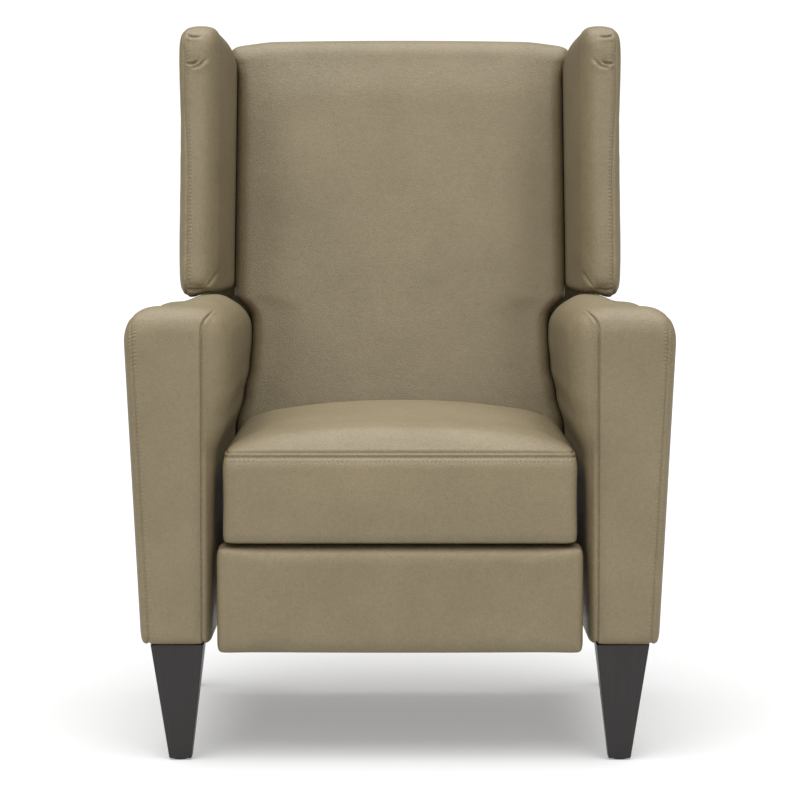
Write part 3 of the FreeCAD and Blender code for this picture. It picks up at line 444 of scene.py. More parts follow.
def arm_seams(place, normal):
    """Draws the hide in along the seams, with small gathers beside the outer one."""
    x, y, z = place
    depth = y - ARM_FRONT
    ahead = 1 - ease(depth, 0.03, 0.06)
    inner = x - arm_seam_in(z)
    outer = x - arm_outer(z) + ARM_SEAM_INSET
    sewn_to = 1 - ease(z, ARM_SEAM_END - 0.006, ARM_SEAM_END + 0.003)
    sunk = ARM_SEAM_DEEP * bell(inner, 0.0017) * ahead * sewn_to
    sunk -= ARM_RIDGE * bell(inner + 0.0052, 0.0030) * ahead
    top = ease(z, 0.60, 0.64)
    if ahead > 0 or top > 0:
        side = max(ahead, top)
        rolled = 1 - 0.75 * ease(z, 0.622, 0.642)
        gathers = (0.0005 + 0.0010 * ease(z, 0.565, 0.595)) * rolled * side
        sunk += ARM_OUTER_SEAM_DEEP * bell(outer, 0.0020) * side * rolled
        for off in (outer + ARM_GATHER_OFF, outer - ARM_GATHER_OFF):
            sunk += gathers * pucker(z + y, off, ARM_GATHER_PITCH, ARM_GATHER_WIDE)
    return place - normal * sunk


def near_arm_seam(c):
    """The strips of the arm that its two seams run through."""
    ahead = c.y < ARM_FRONT + 0.05
    outer = abs(c.x - arm_outer(c.z) + ARM_SEAM_INSET) < 0.010
    return outer and (ahead or c.z > 0.62) or ahead and abs(c.x - arm_seam_in(c.z)) < 0.009


arm = add_block("arm_right", (ARM_IN, ARM_FRONT, ARM_FOOT), (ARM_OUT, ARM_REAR, ARM_TOP))
soften(arm,
       (lambda a, b: both(2, ARM_TOP)(a, b) and both(0, ARM_OUT)(a, b), ARM_OUTER_ROLL),
       (lambda a, b: both(2, ARM_TOP)(a, b) and both(0, ARM_IN)(a, b), ARM_INNER_ROLL),
       (lambda a, b: both(2, ARM_TOP)(a, b) and both(1, ARM_FRONT)(a, b), ARM_FRONT_ROLL),
       (lambda a, b: both(2, ARM_TOP)(a, b) and both(1, ARM_REAR)(a, b), ARM_REAR_ROLL),
       (lambda a, b: both(0, ARM_IN)(a, b) and both(1, ARM_FRONT)(a, b), ARM_INNER_CORNER),
       (lambda a, b: both(0, ARM_OUT)(a, b) and both(1, ARM_FRONT)(a, b), ARM_OUTER_CORNER),
       (lambda a, b: not near(a.z, b.z) and both(1, ARM_REAR)(a, b), ARM_REAR_CORNER),
       (both(2, ARM_FOOT), ARM_HEM_ROLL))
remesh(arm, ARM_VOXEL)
shaped(arm, arm_form)
refine(arm)
refine_by(arm, near_arm_seam, 2)
shaped(arm, arm_seams)
seam_heights = [ARM_FOOT + 0.012 + 0.01 * step for step in range(48)]
arm_line = [Vector((arm_seam_in(z) - ARM_STITCH_OFF, ARM_FRONT - 0.002, z))
            for z in seam_heights if z < ARM_STITCH_END]
arm_stitches = sew("arm_stitches_right", arm, arm_line)
arm_left = mirrored_copy(arm, "arm_left")
arm_stitches_left = mirrored_copy(arm_stitches, "arm_stitches_left")
for piece, side in ((arm, "right"), (arm_left, "left")):
    cover(piece, "base", 0.9, "arm_pad_" + side)
for sewn in (arm_stitches, arm_stitches_left):
    fasten(sewn, "base")

# Seat.
# The seat is one upholstered cushion: a crowned top over foam and springs, sewn at the front to a
# boxing panel that hangs down over the front rail. The seam is doubled, with a welt between.

SEAT_HALF = 0.2590
SEAT_FRONT = -0.4365
SEAT_REAR = 0.040
SEAT_UNDER = 0.414
SEAT_TOP = 0.4620
SEAT_HEM = 0.3210
SEAT_LIP_DEEP = 0.056
SEAT_SEAM = 0.4525
SEAT_CROWN = 0.025
SEAT_REAR_RISE = 0.004
SEAT_PANEL_BOW = 0.0028
SEAT_PANEL_MIDDLE = 0.385
SEAT_SEAM_DEEP = 0.0028
SEAT_SEAM_WIDE = 0.0018
SEAT_WELT = 0.0026
SEAT_WELT_HIGH = 0.0010
SEAT_WELT_WIDE = 0.0016
SEAT_GATHER = 0.0005
SEAT_GATHER_PITCH = 0.0068
SEAT_HEM_LINE = 0.008
SEAT_SWELL = 0.022
SEAT_CORNER = 0.012
SEAT_LIP_ROLL = 0.030
SEAT_SIDE_ROLL = 0.016
SEAT_HEM_ROLL = 0.004
SEAT_VOXEL = 0.006
CUSHION_PRESSURE = 4.0
CLOTH_FRAMES = 20


def plump(piece, pressure, cap, share):
    """Swells a padded piece as cloth under pressure, by no more than a cap times its share."""
    before = [vertex.co.copy() for vertex in piece.data.vertices]
    take(piece)
    cloth = piece.modifiers.new("swell", "CLOTH")
    cloth.settings.use_pressure = True
    cloth.settings.uniform_pressure_force = pressure
    cloth.settings.quality = 4
    cloth.settings.effector_weights.gravity = 0
    cloth.collision_settings.use_collision = False
    cloth.point_cache.frame_start = 1
    cloth.point_cache.frame_end = CLOTH_FRAMES
    for step in range(1, CLOTH_FRAMES + 1):
        bpy.context.scene.frame_set(step)
    bpy.ops.object.modifier_apply(modifier=cloth.name)
    bpy.context.scene.frame_set(1)
    for vertex, rest in zip(piece.data.vertices, before):
        shift = vertex.co - rest
        most = cap * share(rest)
        if shift.length > most:
            shift = shift.normalized() * most
        vertex.co = rest + shift
    piece.data.update()


def slice_at(axis, *places):
    """Cuts the open piece right through by planes square to an axis."""
    normal = [0, 0, 0]
    normal[axis] = 1
    for place in places:
        point = [0, 0, 0]
        point[axis] = place
        bpy.ops.mesh.select_all(action="SELECT")
        bpy.ops.mesh.bisect(plane_co=point, plane_no=normal)


def seat_form(place, normal):
    """Crowns the top from side to side and bows the front."""
    x, y, z = place
    across = min(1.0, abs(x) / SEAT_HALF)
    on_top = ease(z, SEAT_SEAM, SEAT_TOP)
    if normal.z > -0.2:
        z += SEAT_CROWN * (1 - across ** 2.2) * on_top * ease(y, SEAT_FRONT, SEAT_FRONT + 0.05)
        z += SEAT_REAR_RISE * (1 - across ** 2) * on_top * ease(y, -0.30, 0.03)
    if normal.y < -0.5:
        y -= SEAT_PANEL_BOW * (1 - across ** 2) * bell(z - SEAT_PANEL_MIDDLE, 0.05)
    return Vector((x, y, z))


def seat_seams(place, normal):
    """Draws in the two lines of the front seam and lets the welt between them stand."""
    x, y, z = place
    ahead = 1 - ease(y, SEAT_FRONT + 0.022, SEAT_FRONT + 0.045)
    upper = z - SEAT_SEAM - SEAT_WELT
    lower = z - SEAT_SEAM + SEAT_WELT
    sunk = SEAT_SEAM_DEEP * (bell(upper, SEAT_SEAM_WIDE) + bell(lower, SEAT_SEAM_WIDE))
    sunk -= SEAT_WELT_HIGH * bell(z - SEAT_SEAM, SEAT_WELT_WIDE)
    sunk += 0.0012 * bell(lower + 0.004, 0.008)
    sunk += SEAT_GATHER * pucker(x, lower + 0.003, SEAT_GATHER_PITCH, 0.0035)
    hem = 0.0008 * bell(z - SEAT_HEM - SEAT_HEM_LINE, 0.0016)
    return place - normal * (sunk + hem) * ahead


seat = add_block("seat", (-SEAT_HALF, SEAT_FRONT, SEAT_UNDER), (SEAT_HALF, SEAT_REAR, SEAT_TOP))
slice_at(1, SEAT_FRONT + SEAT_LIP_DEEP)
pick("FACE", lambda c, n: n.z < -0.5 and c.y < SEAT_FRONT + SEAT_LIP_DEEP)
bpy.ops.mesh.extrude_region_move(TRANSFORM_OT_translate={"value": (0, 0, SEAT_HEM - SEAT_UNDER)})
soften(seat,
       (lambda a, b: both(1, SEAT_FRONT)(a, b) and not both(2, SEAT_UNDER)(a, b), SEAT_CORNER),
       (lambda a, b: both(2, SEAT_TOP)(a, b) and both(1, SEAT_FRONT)(a, b), SEAT_LIP_ROLL),
       (lambda a, b: both(2, SEAT_TOP)(a, b) and near(a.x, b.x), SEAT_SIDE_ROLL),
       (lambda a, b: both(2, SEAT_TOP)(a, b) and both(1, SEAT_REAR)(a, b), SEAT_SIDE_ROLL),
       (both(2, SEAT_HEM), SEAT_HEM_ROLL))
remesh(seat, SEAT_VOXEL)
plump(seat, CUSHION_PRESSURE, SEAT_SWELL, lambda p: 0.36 * ease(p.z, SEAT_SEAM, SEAT_TOP - 0.002)
      * (1 - 0.7 * ease(abs(p.x), 0.20, SEAT_HALF)) * ease(p.y, SEAT_FRONT + 0.01, SEAT_FRONT + 0.09)
      + 0.06 * bell(p.z - SEAT_PANEL_MIDDLE, 0.04))
shaped(seat, seat_form)
refine(seat)
refine_by(seat, lambda c: c.y < SEAT_FRONT + 0.04 and abs(c.z - SEAT_SEAM) < 0.014)
shaped(seat, seat_seams)
seat_line = [Vector((SEAT_HALF * 0.97 * step / 40, SEAT_FRONT - 0.004, SEAT_SEAM - SEAT_WELT - 0.0035))
             for step in range(-40, 41)]
seat_stitches = sew("seat_stitches", seat, seat_line)
cover(seat, "seat_carriage", 0.8, "seat_cushion")
fasten(seat_stitches, "seat_carriage")

# Footrest.
# The footrest is a board under thin foam. Its cover is pulled round the edges and stapled behind,
# and two steel brackets hold it to the linkage.

REST_HALF = 0.2680
REST_FRONT = -0.4370
REST_BACK = -0.381
REST_LOW = 0.1600
REST_TOP = 0.3160
REST_RISE = 0.0030
REST_SAG = 0.0012
REST_SWELL = 0.022
REST_BACK_ROLL = 0.004
REST_CORNER = 0.004
REST_FRONT_ROLL = 0.008
REST_VOXEL = 0.006
PAD_PRESSURE = 3.0


def rest_form(place, normal):
    """Lets the bottom edge sag a little towards its middle."""
    x, y, z = place
    across = max(0.0, 1 - (x / REST_HALF) ** 2)
    up = (z - REST_LOW) / (REST_TOP - REST_LOW)
    z += REST_RISE * ease(up, 0.85, 1.0) * ease(y, REST_FRONT + 0.012, REST_BACK - 0.010)
    return Vector((x, y, z - REST_SAG * across * (1 - ease(up, 0.0, 0.5))))


rest = add_block("footrest_cover", (-REST_HALF, REST_FRONT, REST_LOW), (REST_HALF, REST_BACK, REST_TOP))
soften(rest,
       (both(1, REST_BACK), REST_BACK_ROLL),
       (lambda a, b: near(a.x, b.x) and near(a.z, b.z), REST_CORNER),
       (both(1, REST_FRONT), REST_FRONT_ROLL))
remesh(rest, REST_VOXEL)
plump(rest, PAD_PRESSURE, REST_SWELL,
      lambda p: 0.12 * (1 - ease(p.y, REST_FRONT + 0.004, REST_FRONT + 0.02))
      * (1 - ease(abs(p.x), 0.20, REST_HALF)))
shaped(rest, rest_form)
refine(rest)
cover(rest, "footrest", 0.9, "rest_pad")

# Back.
# The back is a leaning frame wrapped in foam and hide, narrow between the arms and wide between
# the wings. It is drawn upright from the hinge and then laid to its lean.

HINGE_Y = 0.160
HINGE_Z = 0.315
LEAN = math.radians(18)
BACK_FACE = -0.1375
BACK_HALF = 0.2745
BACK_LOW = 0.066
BACK_TOP = 0.7775
BACK_REAR = 0.029
BACK_ARCH = 0.004
BACK_SHOULDER_FALL = 0.006
BACK_SWELL = 0.024
BACK_CORNER = 0.026
BACK_FRONT_ROLL = 0.040
BACK_SIDE_ROLL = 0.020
BACK_REAR_ROLL = 0.006
BACK_VOXEL = 0.0065
BACK_SIDE_STEPS = ((0.380, 0.2705), (0.450, 0.2690), (0.500, 0.2568), (0.545, 0.2475), (0.590, 0.2445),
                   (0.612, 0.2443), (0.628, 0.2465), (0.640, 0.2540), (0.650, 0.2640), (0.657, 0.2745),
                   (1.018, 0.2745), (1.040, 0.2780), (1.058, 0.2860), (1.076, 0.2900))


def lay_back(piece):
    """Turns a piece drawn upright at the hinge to the lean of the back."""
    let_go()
    piece.data.transform(Matrix.Translation((0, HINGE_Y, HINGE_Z)) @ Matrix.Rotation(-LEAN, 4, "X"))


def back_top(place, normal):
    """Arches the top of the upright back."""
    x, p, q = place
    across = min(1.0, abs(x) / BACK_HALF)
    high = ease(q, 0.55, BACK_TOP)
    fall = BACK_ARCH * across ** 2 + BACK_SHOULDER_FALL * ease(across, 0.72, 0.97)
    return Vector((x, p, q - high * fall))


def back_sides(place, normal):
    """Draws the leaning back in between the arms, close over their rolled tops."""
    x, y, z = place
    return Vector((x * along_steps(z, BACK_SIDE_STEPS) / BACK_HALF, y, z))


back = add_block("back", (-BACK_HALF, BACK_FACE, BACK_LOW), (BACK_HALF, BACK_REAR, BACK_TOP))
soften(back,
       (lambda a, b: both(1, BACK_FACE)(a, b) and near(a.x, b.x), BACK_CORNER),
       (lambda a, b: both(1, BACK_FACE)(a, b) and both(2, BACK_TOP)(a, b), BACK_FRONT_ROLL),
       (lambda a, b: both(2, BACK_TOP)(a, b) and near(a.x, b.x), BACK_SIDE_ROLL),
       (lambda a, b: both(2, BACK_TOP)(a, b) and both(1, BACK_REAR)(a, b), BACK_REAR_ROLL))
remesh(back, BACK_VOXEL)
plump(back, CUSHION_PRESSURE, BACK_SWELL,
      lambda p: 0.30 * (1 - ease(p.y, BACK_FACE + 0.015, BACK_FACE + 0.05))
      * (1 - ease(abs(p.x), 0.17, 0.262)) * (1 - ease(p.z, 0.66, BACK_TOP - 0.02)))
shaped(back, back_top)
lay_back(back)
shaped(back, back_sides)
refine(back)
cover(back, "back", 0.8, "back_cushion")

# Outside back.
# The rear is closed by a flat panel of hide over board, narrow between the arms and wide behind
# the wings. It is tacked on inside a plain seam and bows out a little.

OUTSIDE_HALF = 0.3445
OUTSIDE_WAIST = 0.2320
OUTSIDE_NEAR = 0.0305
OUTSIDE_FAR = 0.0405
OUTSIDE_LOW = 0.017
OUTSIDE_TOP = 0.772
OUTSIDE_SHOULDER = 0.307
OUTSIDE_SEAM = 0.014
OUTSIDE_SEAM_DEEP = 0.0022
OUTSIDE_SEAM_WIDE = 0.0026
OUTSIDE_GATHER = 0.0005
OUTSIDE_GATHER_PITCH = 0.0080
OUTSIDE_BOW = 0.0016
OUTSIDE_CORNER = 0.030
OUTSIDE_EDGE_ROLL = 0.004
OUTSIDE_VOXEL = 0.005


def outside_edge(x, q):
    """How far a place on the outside back is from the panel's outline."""
    half = OUTSIDE_WAIST if q < OUTSIDE_SHOULDER else OUTSIDE_HALF
    edge = min(half - abs(x), OUTSIDE_TOP - q, q - OUTSIDE_LOW)
    if abs(x) > OUTSIDE_WAIST:
        edge = min(edge, q - OUTSIDE_SHOULDER)
    return edge


def outside_form(place, normal):
    """Bows the panel outwards a little."""
    x, p, q = place
    if normal.y > 0.5:
        p += OUTSIDE_BOW * ease(outside_edge(x, q), 0.0, 0.09)
    return Vector((x, p, q))


def outside_seams(place, normal):
    """Sinks the seam that runs round just inside the outline."""
    x, p, q = place
    if normal.y < 0.5:
        return place
    edge = outside_edge(x, q) - OUTSIDE_SEAM
    gathers = OUTSIDE_GATHER * pucker(x + q, edge - 0.004, OUTSIDE_GATHER_PITCH, 0.004)
    return place - normal * (OUTSIDE_SEAM_DEEP * bell(edge, OUTSIDE_SEAM_WIDE) + gathers)


outside = add_block("outside_back_panel", (-OUTSIDE_WAIST, OUTSIDE_NEAR, OUTSIDE_LOW),
                    (OUTSIDE_WAIST, OUTSIDE_FAR, OUTSIDE_TOP))
slice_at(2, OUTSIDE_SHOULDER)
for way in (-1, 1):
    pick("FACE", lambda c, n: n.x * way > 0.5 and c.z > OUTSIDE_SHOULDER)
    bpy.ops.mesh.extrude_region_move(
        TRANSFORM_OT_translate={"value": ((OUTSIDE_HALF - OUTSIDE_WAIST) * way, 0, 0)})
soften(outside, (lambda a, b: near(a.x, b.x) and near(a.z, b.z) and a.z > 0.5, OUTSIDE_CORNER))
soften(outside, (both(1, OUTSIDE_FAR), OUTSIDE_EDGE_ROLL))
remesh(outside, OUTSIDE_VOXEL)
shaped(outside, outside_form)
refine_by(outside, lambda c: c.y > OUTSIDE_FAR - 0.004
          and abs(outside_edge(c.x, c.z) - OUTSIDE_SEAM) < 0.010)
take(outside)
bpy.ops.object.shade_smooth()
shaped(outside, outside_seams)
lay_back(outside)
cover(outside, "back", 0.9, "outside_back")

# Wings.
# Each wing is a board in thick foam. Its cover is an inner and an outer piece that meet in a seam
# round the front edge, gathered into small pleats at the tip and tucked under at the foot.

WING_OUT = 0.3490
WING_FLARE = 0.0035
WING_IN = 0.2745
WING_FRONT = -0.078
WING_LOW = 0.6726
WING_TUCK = 0.0085
WING_TIP = 1.1060
WING_LEAN = 0.092
WING_SLIM = 0.29
WING_SLIM_DEEP = 0.20
WING_SEAM_INSET = 0.0115
WING_SEAM_OUTWARDS = 0.0075
WING_SEAM_DEEP = 0.0022
WING_SEAM_WIDE = 0.0022
WING_GATHER = 0.0005
WING_GATHER_PITCH = 0.0072
WING_FOLD_WIDE = 0.0023
WING_FOLD_RIDGE = 0.30
WING_STITCH_OFF = 0.0046
WING_LOW_REAR = (0.307, 0.6695)
WING_TOP_REAR = (0.426, 1.037)
WING_TIP_ROUND = 0.044
WING_TOE_ROUND = 0.026
WING_TOP_REAR_ROUND = 0.030
WING_HEEL_ROUND = 0.016
WING_OUTER_ROLLS = {"front": 0.021, "top": 0.027, "foot": 0.024, "rear": 0.008}
WING_INNER_ROLLS = {"front": 0.034, "top": 0.024, "foot": 0.007, "rear": 0.003}
WING_SWELL = 0.022
WING_VOXEL = 0.0055
WING_FOLDS = (((0.3430, 1.0820), (0.3310, 1.0795), (0.3140, 1.0785), 0.0042),
              ((0.3450, 1.0365), (0.3310, 1.0360), (0.3180, 1.0405), 0.0044),
              ((0.3350, 1.0270), (0.3200, 1.0320), (0.3040, 1.0465), 0.0034),
              ((0.3060, 0.6800), (0.2970, 0.6920), (0.2870, 0.7100), 0.0016),
              ((0.3400, 0.6790), (0.3240, 0.6765), (0.3020, 0.6790), 0.0030))


def move(test, shift):
    """Moves the vertices that pass a test."""
    pick("VERT", test)
    bpy.ops.transform.translate(value=shift)


def wing_front(z):
    """Where the front edge of a wing is at a height."""
    return WING_FRONT + WING_LEAN * (z - WING_LOW) / (WING_TIP - WING_LOW)


def wing_seam(z):
    """Where the seam of a wing's front edge runs at a height."""
    return WING_OUT - WING_SEAM_INSET + WING_SEAM_OUTWARDS * ease(z, 0.86, 1.00)


def wing_form(place, normal):
    """Slims the front of the wing from its inner side, which slants in to the back cushion."""
    x, y, z = place
    slim = 1 - WING_SLIM * (1 - ease(y - wing_front(z), -0.06, WING_SLIM_DEEP))
    x = WING_OUT - (WING_OUT - x) * slim
    z -= WING_TUCK * ease(x, 0.305, 0.335) * (1 - ease(z, 0.668, 0.72))
    return Vector((x + WING_FLARE * ease(z, 0.92, 1.05) * ease(x, 0.31, WING_OUT), y, z))


def from_fold(x, z, start, bend, end):
    """How far a place is from a fold of two short runs, on which side, and how far along it."""
    nearest = 1.0
    side = 1.0
    along = 0.0
    for number, (first, last) in enumerate(((start, bend), (bend, end))):
        run = (last[0] - first[0], last[1] - first[1])
        reach = (x - first[0], z - first[1])
        share = (run[0] * reach[0] + run[1] * reach[1]) / (run[0] ** 2 + run[1] ** 2)
        share = min(1.0, max(0.0, share))
        off = math.hypot(reach[0] - run[0] * share, reach[1] - run[1] * share)
        if off < nearest:
            nearest = off
            side = math.copysign(1.0, run[0] * reach[1] - run[1] * reach[0])
            along = (number + share) / 2
    return nearest, side, along


def wing_seams(place, normal):
    """Sinks the seam round the front edge, the pleats of the tip and the tucks of the foot."""
    x, y, z = place
    ahead = y - wing_front(z)
    on_top = ease(z, 1.03, 1.06) * (1 - ease(y, 0.36, 0.40))
    shown = max(1 - ease(ahead, 0.03, 0.05), on_top)
    if shown <= 0:
        return place
    off = x - wing_seam(z)
    rolled = 1 - 0.8 * ease(z, 1.050, 1.075)
    sunk = WING_SEAM_DEEP * bell(off, WING_SEAM_WIDE)
    sunk += WING_GATHER * pucker(z + y, off + 0.004, WING_GATHER_PITCH, 0.0038)
    sunk *= shown * rolled
    if ahead < 0.05:
        for start, bend, end, depth in WING_FOLDS:
            gap, side, along = from_fold(x, z, start, bend, end)
            if gap < 0.02:
                held = depth * ease(along, 0.0, 0.3) * (1 - ease(along, 0.6, 1.0))
                ridge = WING_FOLD_RIDGE * side * bell(gap - 0.0060, 0.0042)
                sunk += held * (bell(gap, WING_FOLD_WIDE) - ridge)
    return place - normal * sunk


def near_wing_seam(c):
    """The parts of a wing that its seam, pleats and tucks run through."""
    ahead = c.y - wing_front(c.z)
    seam = abs(c.x - wing_seam(c.z)) < 0.009
    fold = any(from_fold(c.x, c.z, *fold[:3])[0] < 0.009 for fold in WING_FOLDS)
    return ahead < 0.05 and (seam or fold) or seam and c.z > 1.03


def wing_edge(piece_side, kind):
    """A test on an edge of one face of the wing: front, top, foot or rear."""
    def test(a, b):
        if not (near(a.x, piece_side) and near(b.x, piece_side)):
            return False
        high = min(a.z, b.z) > 0.95
        low = max(a.z, b.z) < 0.80
        ahead = max(a.y, b.y) < 0.10
        return kind == ("top" if high else "foot" if low else "front" if ahead else "rear")
    return test


wing = add_block("wing_right", (WING_IN, WING_FRONT, WING_LOW), (WING_OUT, WING_TOP_REAR[0], WING_TIP))
move(lambda v: near(v.y, WING_FRONT) and near(v.z, WING_TIP), (0, WING_LEAN, 0))
move(lambda v: near(v.y, WING_TOP_REAR[0]) and near(v.z, WING_LOW),
     (0, WING_LOW_REAR[0] - WING_TOP_REAR[0], WING_LOW_REAR[1] - WING_LOW))
move(lambda v: near(v.y, WING_TOP_REAR[0]) and near(v.z, WING_TIP), (0, 0, WING_TOP_REAR[1] - WING_TIP))
soften(wing,
       (lambda a, b: not near(a.x, b.x) and a.y < 0.1 and a.z > 0.9, WING_TIP_ROUND),
       (lambda a, b: not near(a.x, b.x) and a.y < 0.1 and a.z < 0.9, WING_TOE_ROUND),
       (lambda a, b: not near(a.x, b.x) and a.y > 0.1 and a.z > 0.9, WING_TOP_REAR_ROUND),
       (lambda a, b: not near(a.x, b.x) and a.y > 0.1 and a.z < 0.9, WING_HEEL_ROUND),
       *((wing_edge(WING_OUT, kind), width) for kind, width in WING_OUTER_ROLLS.items()),
       *((wing_edge(WING_IN, kind), width) for kind, width in WING_INNER_ROLLS.items()))
remesh(wing, WING_VOXEL)
plump(wing, PAD_PRESSURE, WING_SWELL,
      lambda p: 0.10 * (1 - ease(p.y - wing_front(p.z), 0.06, 0.16)) * ease(p.z, 0.69, 0.74))
shaped(wing, wing_form)
refine(wing)
refine_by(wing, near_wing_seam, 2)
shaped(wing, wing_seams)
wing_line = [Vector((wing_seam(z) - WING_STITCH_OFF, wing_front(z) - 0.004, z))
             for z in (WING_LOW + 0.02 + 0.01 * step for step in range(40))]
wing_stitches = sew("wing_stitches_right", wing, wing_line)
wing_left = mirrored_copy(wing, "wing_left")
wing_stitches_left = mirrored_copy(wing_stitches, "wing_stitches_left")
for piece, side in ((wing, "right"), (wing_left, "left")):
    cover(piece, "back", 0.9, "wing_pad_" + side)
for sewn in (wing_stitches, wing_stitches_left):
    fasten(sewn, "back")

# Legs.
# Four tapered legs of dark stained hardwood, bolted up into the arm rails. The front pair stands
# straight in front, and the rear pair is raked backwards.

WOOD_DARK = (0.0042, 0.0030, 0.0029, 1)
WOOD_LIGHT = (0.0125, 0.0088, 0.0082, 1)
LEG_TOP = 0.1715
LEG_FOOT = 0.0025
LEG_EDGE = 0.003
LEG_FOOT_EDGE = 0.0015
LEG_SMOOTH_UNDER = math.radians(25)
FRONT_LEG = ((0.288, -0.426), (0.3655, -0.356), (0.3065, -0.420), (0.3395, -0.392))
REAR_LEG = ((0.328, 0.146), (0.368, 0.198), (0.342, 0.178), (0.368, 0.204))


def stained_wood():
    """Hardwood under a very dark stain, its grain running up the leg."""
    finish, shader, place = start_finish("dark_stained_wood")
    up = place.node("ShaderNodeMapping", {}, {"Vector": place, "Scale": (60.0, 60.0, 5.0)})
    grain = up.node("ShaderNodeTexNoise", {}, {"Vector": up, "Scale": 3.0, "Detail": 6.0, "Roughness": 0.6})
    streak = up.node("ShaderNodeTexNoise", {}, {"Vector": up, "Scale": 12.0, "Detail": 2.0})
    feed(shader, Base_Color=(grain * 0.7 + streak * 0.3).span(0.3, 0.7).tint(WOOD_DARK, WOOD_LIGHT),
         Roughness=0.36 + grain * 0.14, Coat_Weight=0.08, Specular_IOR_Level=0.42,
         Normal=streak.relief(0.25, 0.0004))
    return finish


dark_wood = stained_wood()


def taper(name, node, way, top_low, top_high, foot_low, foot_high):
    """Models one leg: a block drawn in to its foot, with its edges eased."""
    piece = add_block(name, (top_low[0], top_low[1], LEG_FOOT), (top_high[0], top_high[1], LEG_TOP))
    for axis, across in ((0, Vector((1, 0, 0))), (1, Vector((0, 1, 0)))):
        for top, foot in ((top_low, foot_low), (top_high, foot_high)):
            move(lambda v: near(v.z, LEG_FOOT) and near(v[axis], top[axis]),
                 across * (foot[axis] - top[axis]))
    soften(piece, (lambda a, b: abs(a.z - b.z) > 0.1, LEG_EDGE), (both(2, LEG_FOOT), LEG_FOOT_EDGE))
    if way < 0:
        piece.data.transform(Matrix.Scale(-1, 4, (1, 0, 0)))
        piece.data.flip_normals()
    take(piece)
    bpy.ops.object.shade_smooth_by_angle(angle=LEG_SMOOTH_UNDER)
    piece.data.materials.append(dark_wood)
    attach(piece, "base")
    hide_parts(node)


for side, way in (("right", 1), ("left", -1)):
    for node, corners in (("front_leg_", FRONT_LEG), ("rear_leg_", REAR_LEG)):
        taper(node + side + "_turned", node + side, way, *corners)

# Hidden frame and steelwork.
# Under the covers are sawn timber, plywood, springs and webbing. The linkage is black enamelled
# steel on zinc rivets, and the seat slides on nylon shoes.

TIMBER_PALE = (0.50, 0.37, 0.22, 1)
TIMBER_DEEP = (0.36, 0.24, 0.13, 1)
ENAMEL = (0.018, 0.018, 0.02, 1)
ENAMEL_PALE = (0.03, 0.03, 0.032, 1)
ZINC_PALE = (0.62, 0.62, 0.60, 1)
ZINC_DULL = (0.45, 0.45, 0.44, 1)
NYLON = (0.70, 0.69, 0.64, 1)
NYLON_PALE = (0.78, 0.77, 0.72, 1)
NYLON_BLACK = (0.015, 0.015, 0.016, 1)
WEB = (0.02, 0.02, 0.022, 1)
WEB_PALE = (0.06, 0.06, 0.065, 1)


def sawn_wood(name, first, second):
    """Pale sawn wood with long streaks."""
    finish, shader, place = start_finish(name)
    run = place.node("ShaderNodeMapping", {}, {"Vector": place, "Scale": (50.0, 8.0, 50.0)})
    grain = run.node("ShaderNodeTexNoise", {},
                     {"Vector": run, "Scale": 2.0, "Detail": 6.0, "Distortion": 0.6})
    feed(shader, Base_Color=grain.tint(first, second), Roughness=0.65 + grain * 0.15,
         Normal=grain.relief(0.3, 0.0006))
    return finish


def speckled(name, first, second, roughness, metallic, scale, bump):
    """A plain made surface with a fine speckle in its colour, gloss and relief."""
    finish, shader, place = start_finish(name)
    speck = place.node("ShaderNodeTexNoise", {}, {"Vector": place, "Scale": scale, "Detail": 4.0})
    feed(shader, Base_Color=speck.tint(first, second), Roughness=roughness - 0.06 + speck * 0.12,
         Metallic=metallic, Normal=speck.relief(0.2, bump))
    return finish


def woven_web():
    """Black elastic webbing with a plain weave."""
    finish, shader, place = start_finish("elastic_web")
    rows = place.node("ShaderNodeTexWave", {"bands_direction": "X"}, {"Vector": place, "Scale": 180.0})
    ribs = place.node("ShaderNodeTexWave", {"bands_direction": "Z"}, {"Vector": place, "Scale": 180.0})
    weave = rows * 0.5 + ribs * 0.5
    feed(shader, Base_Color=weave.tint(WEB, WEB_PALE), Roughness=0.8 + weave * 0.1,
         Normal=weave.relief(0.4, 0.0004))
    return finish


slot_finishes = {
    "timber": sawn_wood("sawn_timber", TIMBER_DEEP, TIMBER_PALE),
    "plywood": sawn_wood("birch_plywood", TIMBER_DEEP, TIMBER_PALE),
    "steel": speckled("black_enamel", ENAMEL, ENAMEL_PALE, 0.38, 0.0, 220.0, 0.0002),
    "fasteners": speckled("zinc_plate", ZINC_DULL, ZINC_PALE, 0.36, 1.0, 300.0, 0.0001),
    "nylon": speckled("natural_nylon", NYLON, NYLON_PALE, 0.45, 0.0, 150.0, 0.0002),
    "glides": speckled("black_nylon", NYLON_BLACK, ENAMEL_PALE, 0.42, 0.0, 200.0, 0.0002),
    "webbing": woven_web(),
}
slot_of = {part["node"]: part["material_slot"] for part in frame["record"]["subparts"]}
for node, thing in frame["nodes"].items():
    finish = slot_finishes.get(slot_of[node])
    if finish:
        thing.data.materials.clear()
        thing.data.materials.append(finish)

# Where it stands.
# A white seamless floor under soft light from large panes, seen from straight in front and a
# little above the seat.

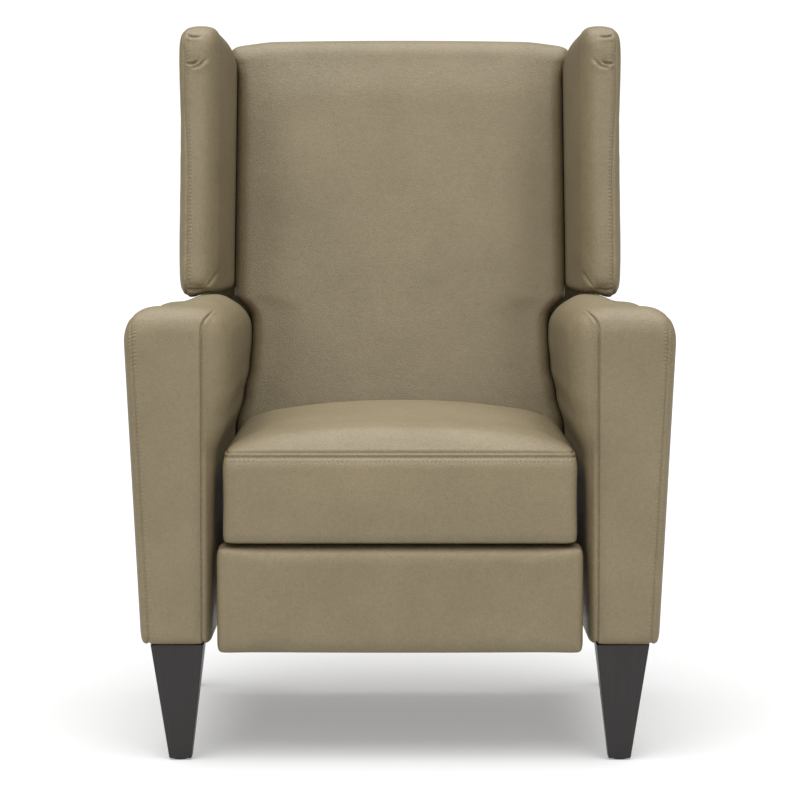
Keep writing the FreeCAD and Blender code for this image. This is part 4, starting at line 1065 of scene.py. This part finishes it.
STAND_FAR = 4.0
CAMERA_HIGH = 0.85
AIM_HIGH = 0.5327
PICTURE_WIDE = 1.155
PICTURE_PLANE = ARM_FRONT - 0.004
ROOM_LIGHT = 0.30
BACKDROP_LIGHT = 1.1
PAPER_GREY = (0.41, 0.41, 0.41, 1)
PAPER_PALE = (0.43, 0.43, 0.43, 1)
PAPER_GLOW = 0.28
FLOOR_SIZE = 40
OVER_LIGHT = 5.8
OVER_LIGHT_SPREAD = math.radians(80)
OVER_LIGHT_WAY = (0.03, 0.15, -1)
PANE_ASIDE = 1.6
PANE_AHEAD = -3.6
PANE_UP = 1.5
LEFT_PANE_WATTS = 24
RIGHT_PANE_WATTS = 21
PANE_AIM = (0, -0.1, 0.6)
PANE_WIDE = 1.4
PANE_HIGH = 2.0
CAMERA_SENSOR = 36


def floor_finish():
    """White matt paper with a faint tooth, bright enough to lose its far edge."""
    finish, shader, place = start_finish("white_paper")
    tooth = place.node("ShaderNodeTexNoise", {}, {"Vector": place, "Scale": 400.0, "Detail": 2.0})
    feed(shader, Base_Color=tooth.tint(PAPER_GREY, PAPER_PALE), Roughness=0.9,
         Emission_Color=(1, 1, 1, 1), Emission_Strength=PAPER_GLOW)
    return finish


let_go()
bpy.ops.mesh.primitive_plane_add(size=FLOOR_SIZE, location=(0, 0, 0))
floor = bpy.context.object
floor.name = "floor"
floor.data.materials.append(floor_finish())

world = bpy.data.worlds.new("soft_room")
bpy.context.scene.world = world
world.use_nodes = True
sky = world.node_tree.nodes["Background"]
sky.inputs["Color"].default_value = (1, 1, 1, 1)
ray = Link(world.node_tree, world.node_tree.nodes.new("ShaderNodeLightPath").outputs["Is Camera Ray"])
seen = ray * (BACKDROP_LIGHT - ROOM_LIGHT) + ROOM_LIGHT
world.node_tree.links.new(seen.socket, sky.inputs["Strength"])
bpy.context.scene.view_settings.view_transform = "Standard"


def pane(name, place, watts):
    """A large soft light pointed at the chair."""
    lamp = bpy.data.lights.new(name, "AREA")
    lamp.shape = "RECTANGLE"
    lamp.size = PANE_WIDE
    lamp.size_y = PANE_HIGH
    lamp.energy = watts
    holder = bpy.data.objects.new(name, lamp)
    bpy.context.collection.objects.link(holder)
    holder.location = place
    holder.rotation_euler = (Vector(PANE_AIM) - Vector(place)).to_track_quat("-Z", "Y").to_euler()


soft_sun = bpy.data.lights.new("over_light", "SUN")
soft_sun.energy = OVER_LIGHT
soft_sun.angle = OVER_LIGHT_SPREAD
sun_holder = bpy.data.objects.new("over_light", soft_sun)
bpy.context.collection.objects.link(sun_holder)
sun_holder.rotation_euler = Vector(OVER_LIGHT_WAY).to_track_quat("-Z", "Y").to_euler()
pane("left_pane", (-PANE_ASIDE, PANE_AHEAD, PANE_UP), LEFT_PANE_WATTS)
pane("right_pane", (PANE_ASIDE, PANE_AHEAD, PANE_UP), RIGHT_PANE_WATTS)

lens = bpy.data.cameras.new("front_camera")
lens.sensor_width = CAMERA_SENSOR
lens.lens = CAMERA_SENSOR * STAND_FAR / PICTURE_WIDE
camera = bpy.data.objects.new("front_camera", lens)
bpy.context.collection.objects.link(camera)
camera.location = (0, PICTURE_PLANE - STAND_FAR, CAMERA_HIGH)
aim = Vector((0, PICTURE_PLANE, AIM_HIGH))
camera.rotation_euler = (aim - camera.location).to_track_quat("-Z", "Y").to_euler()
bpy.context.scene.camera = camera
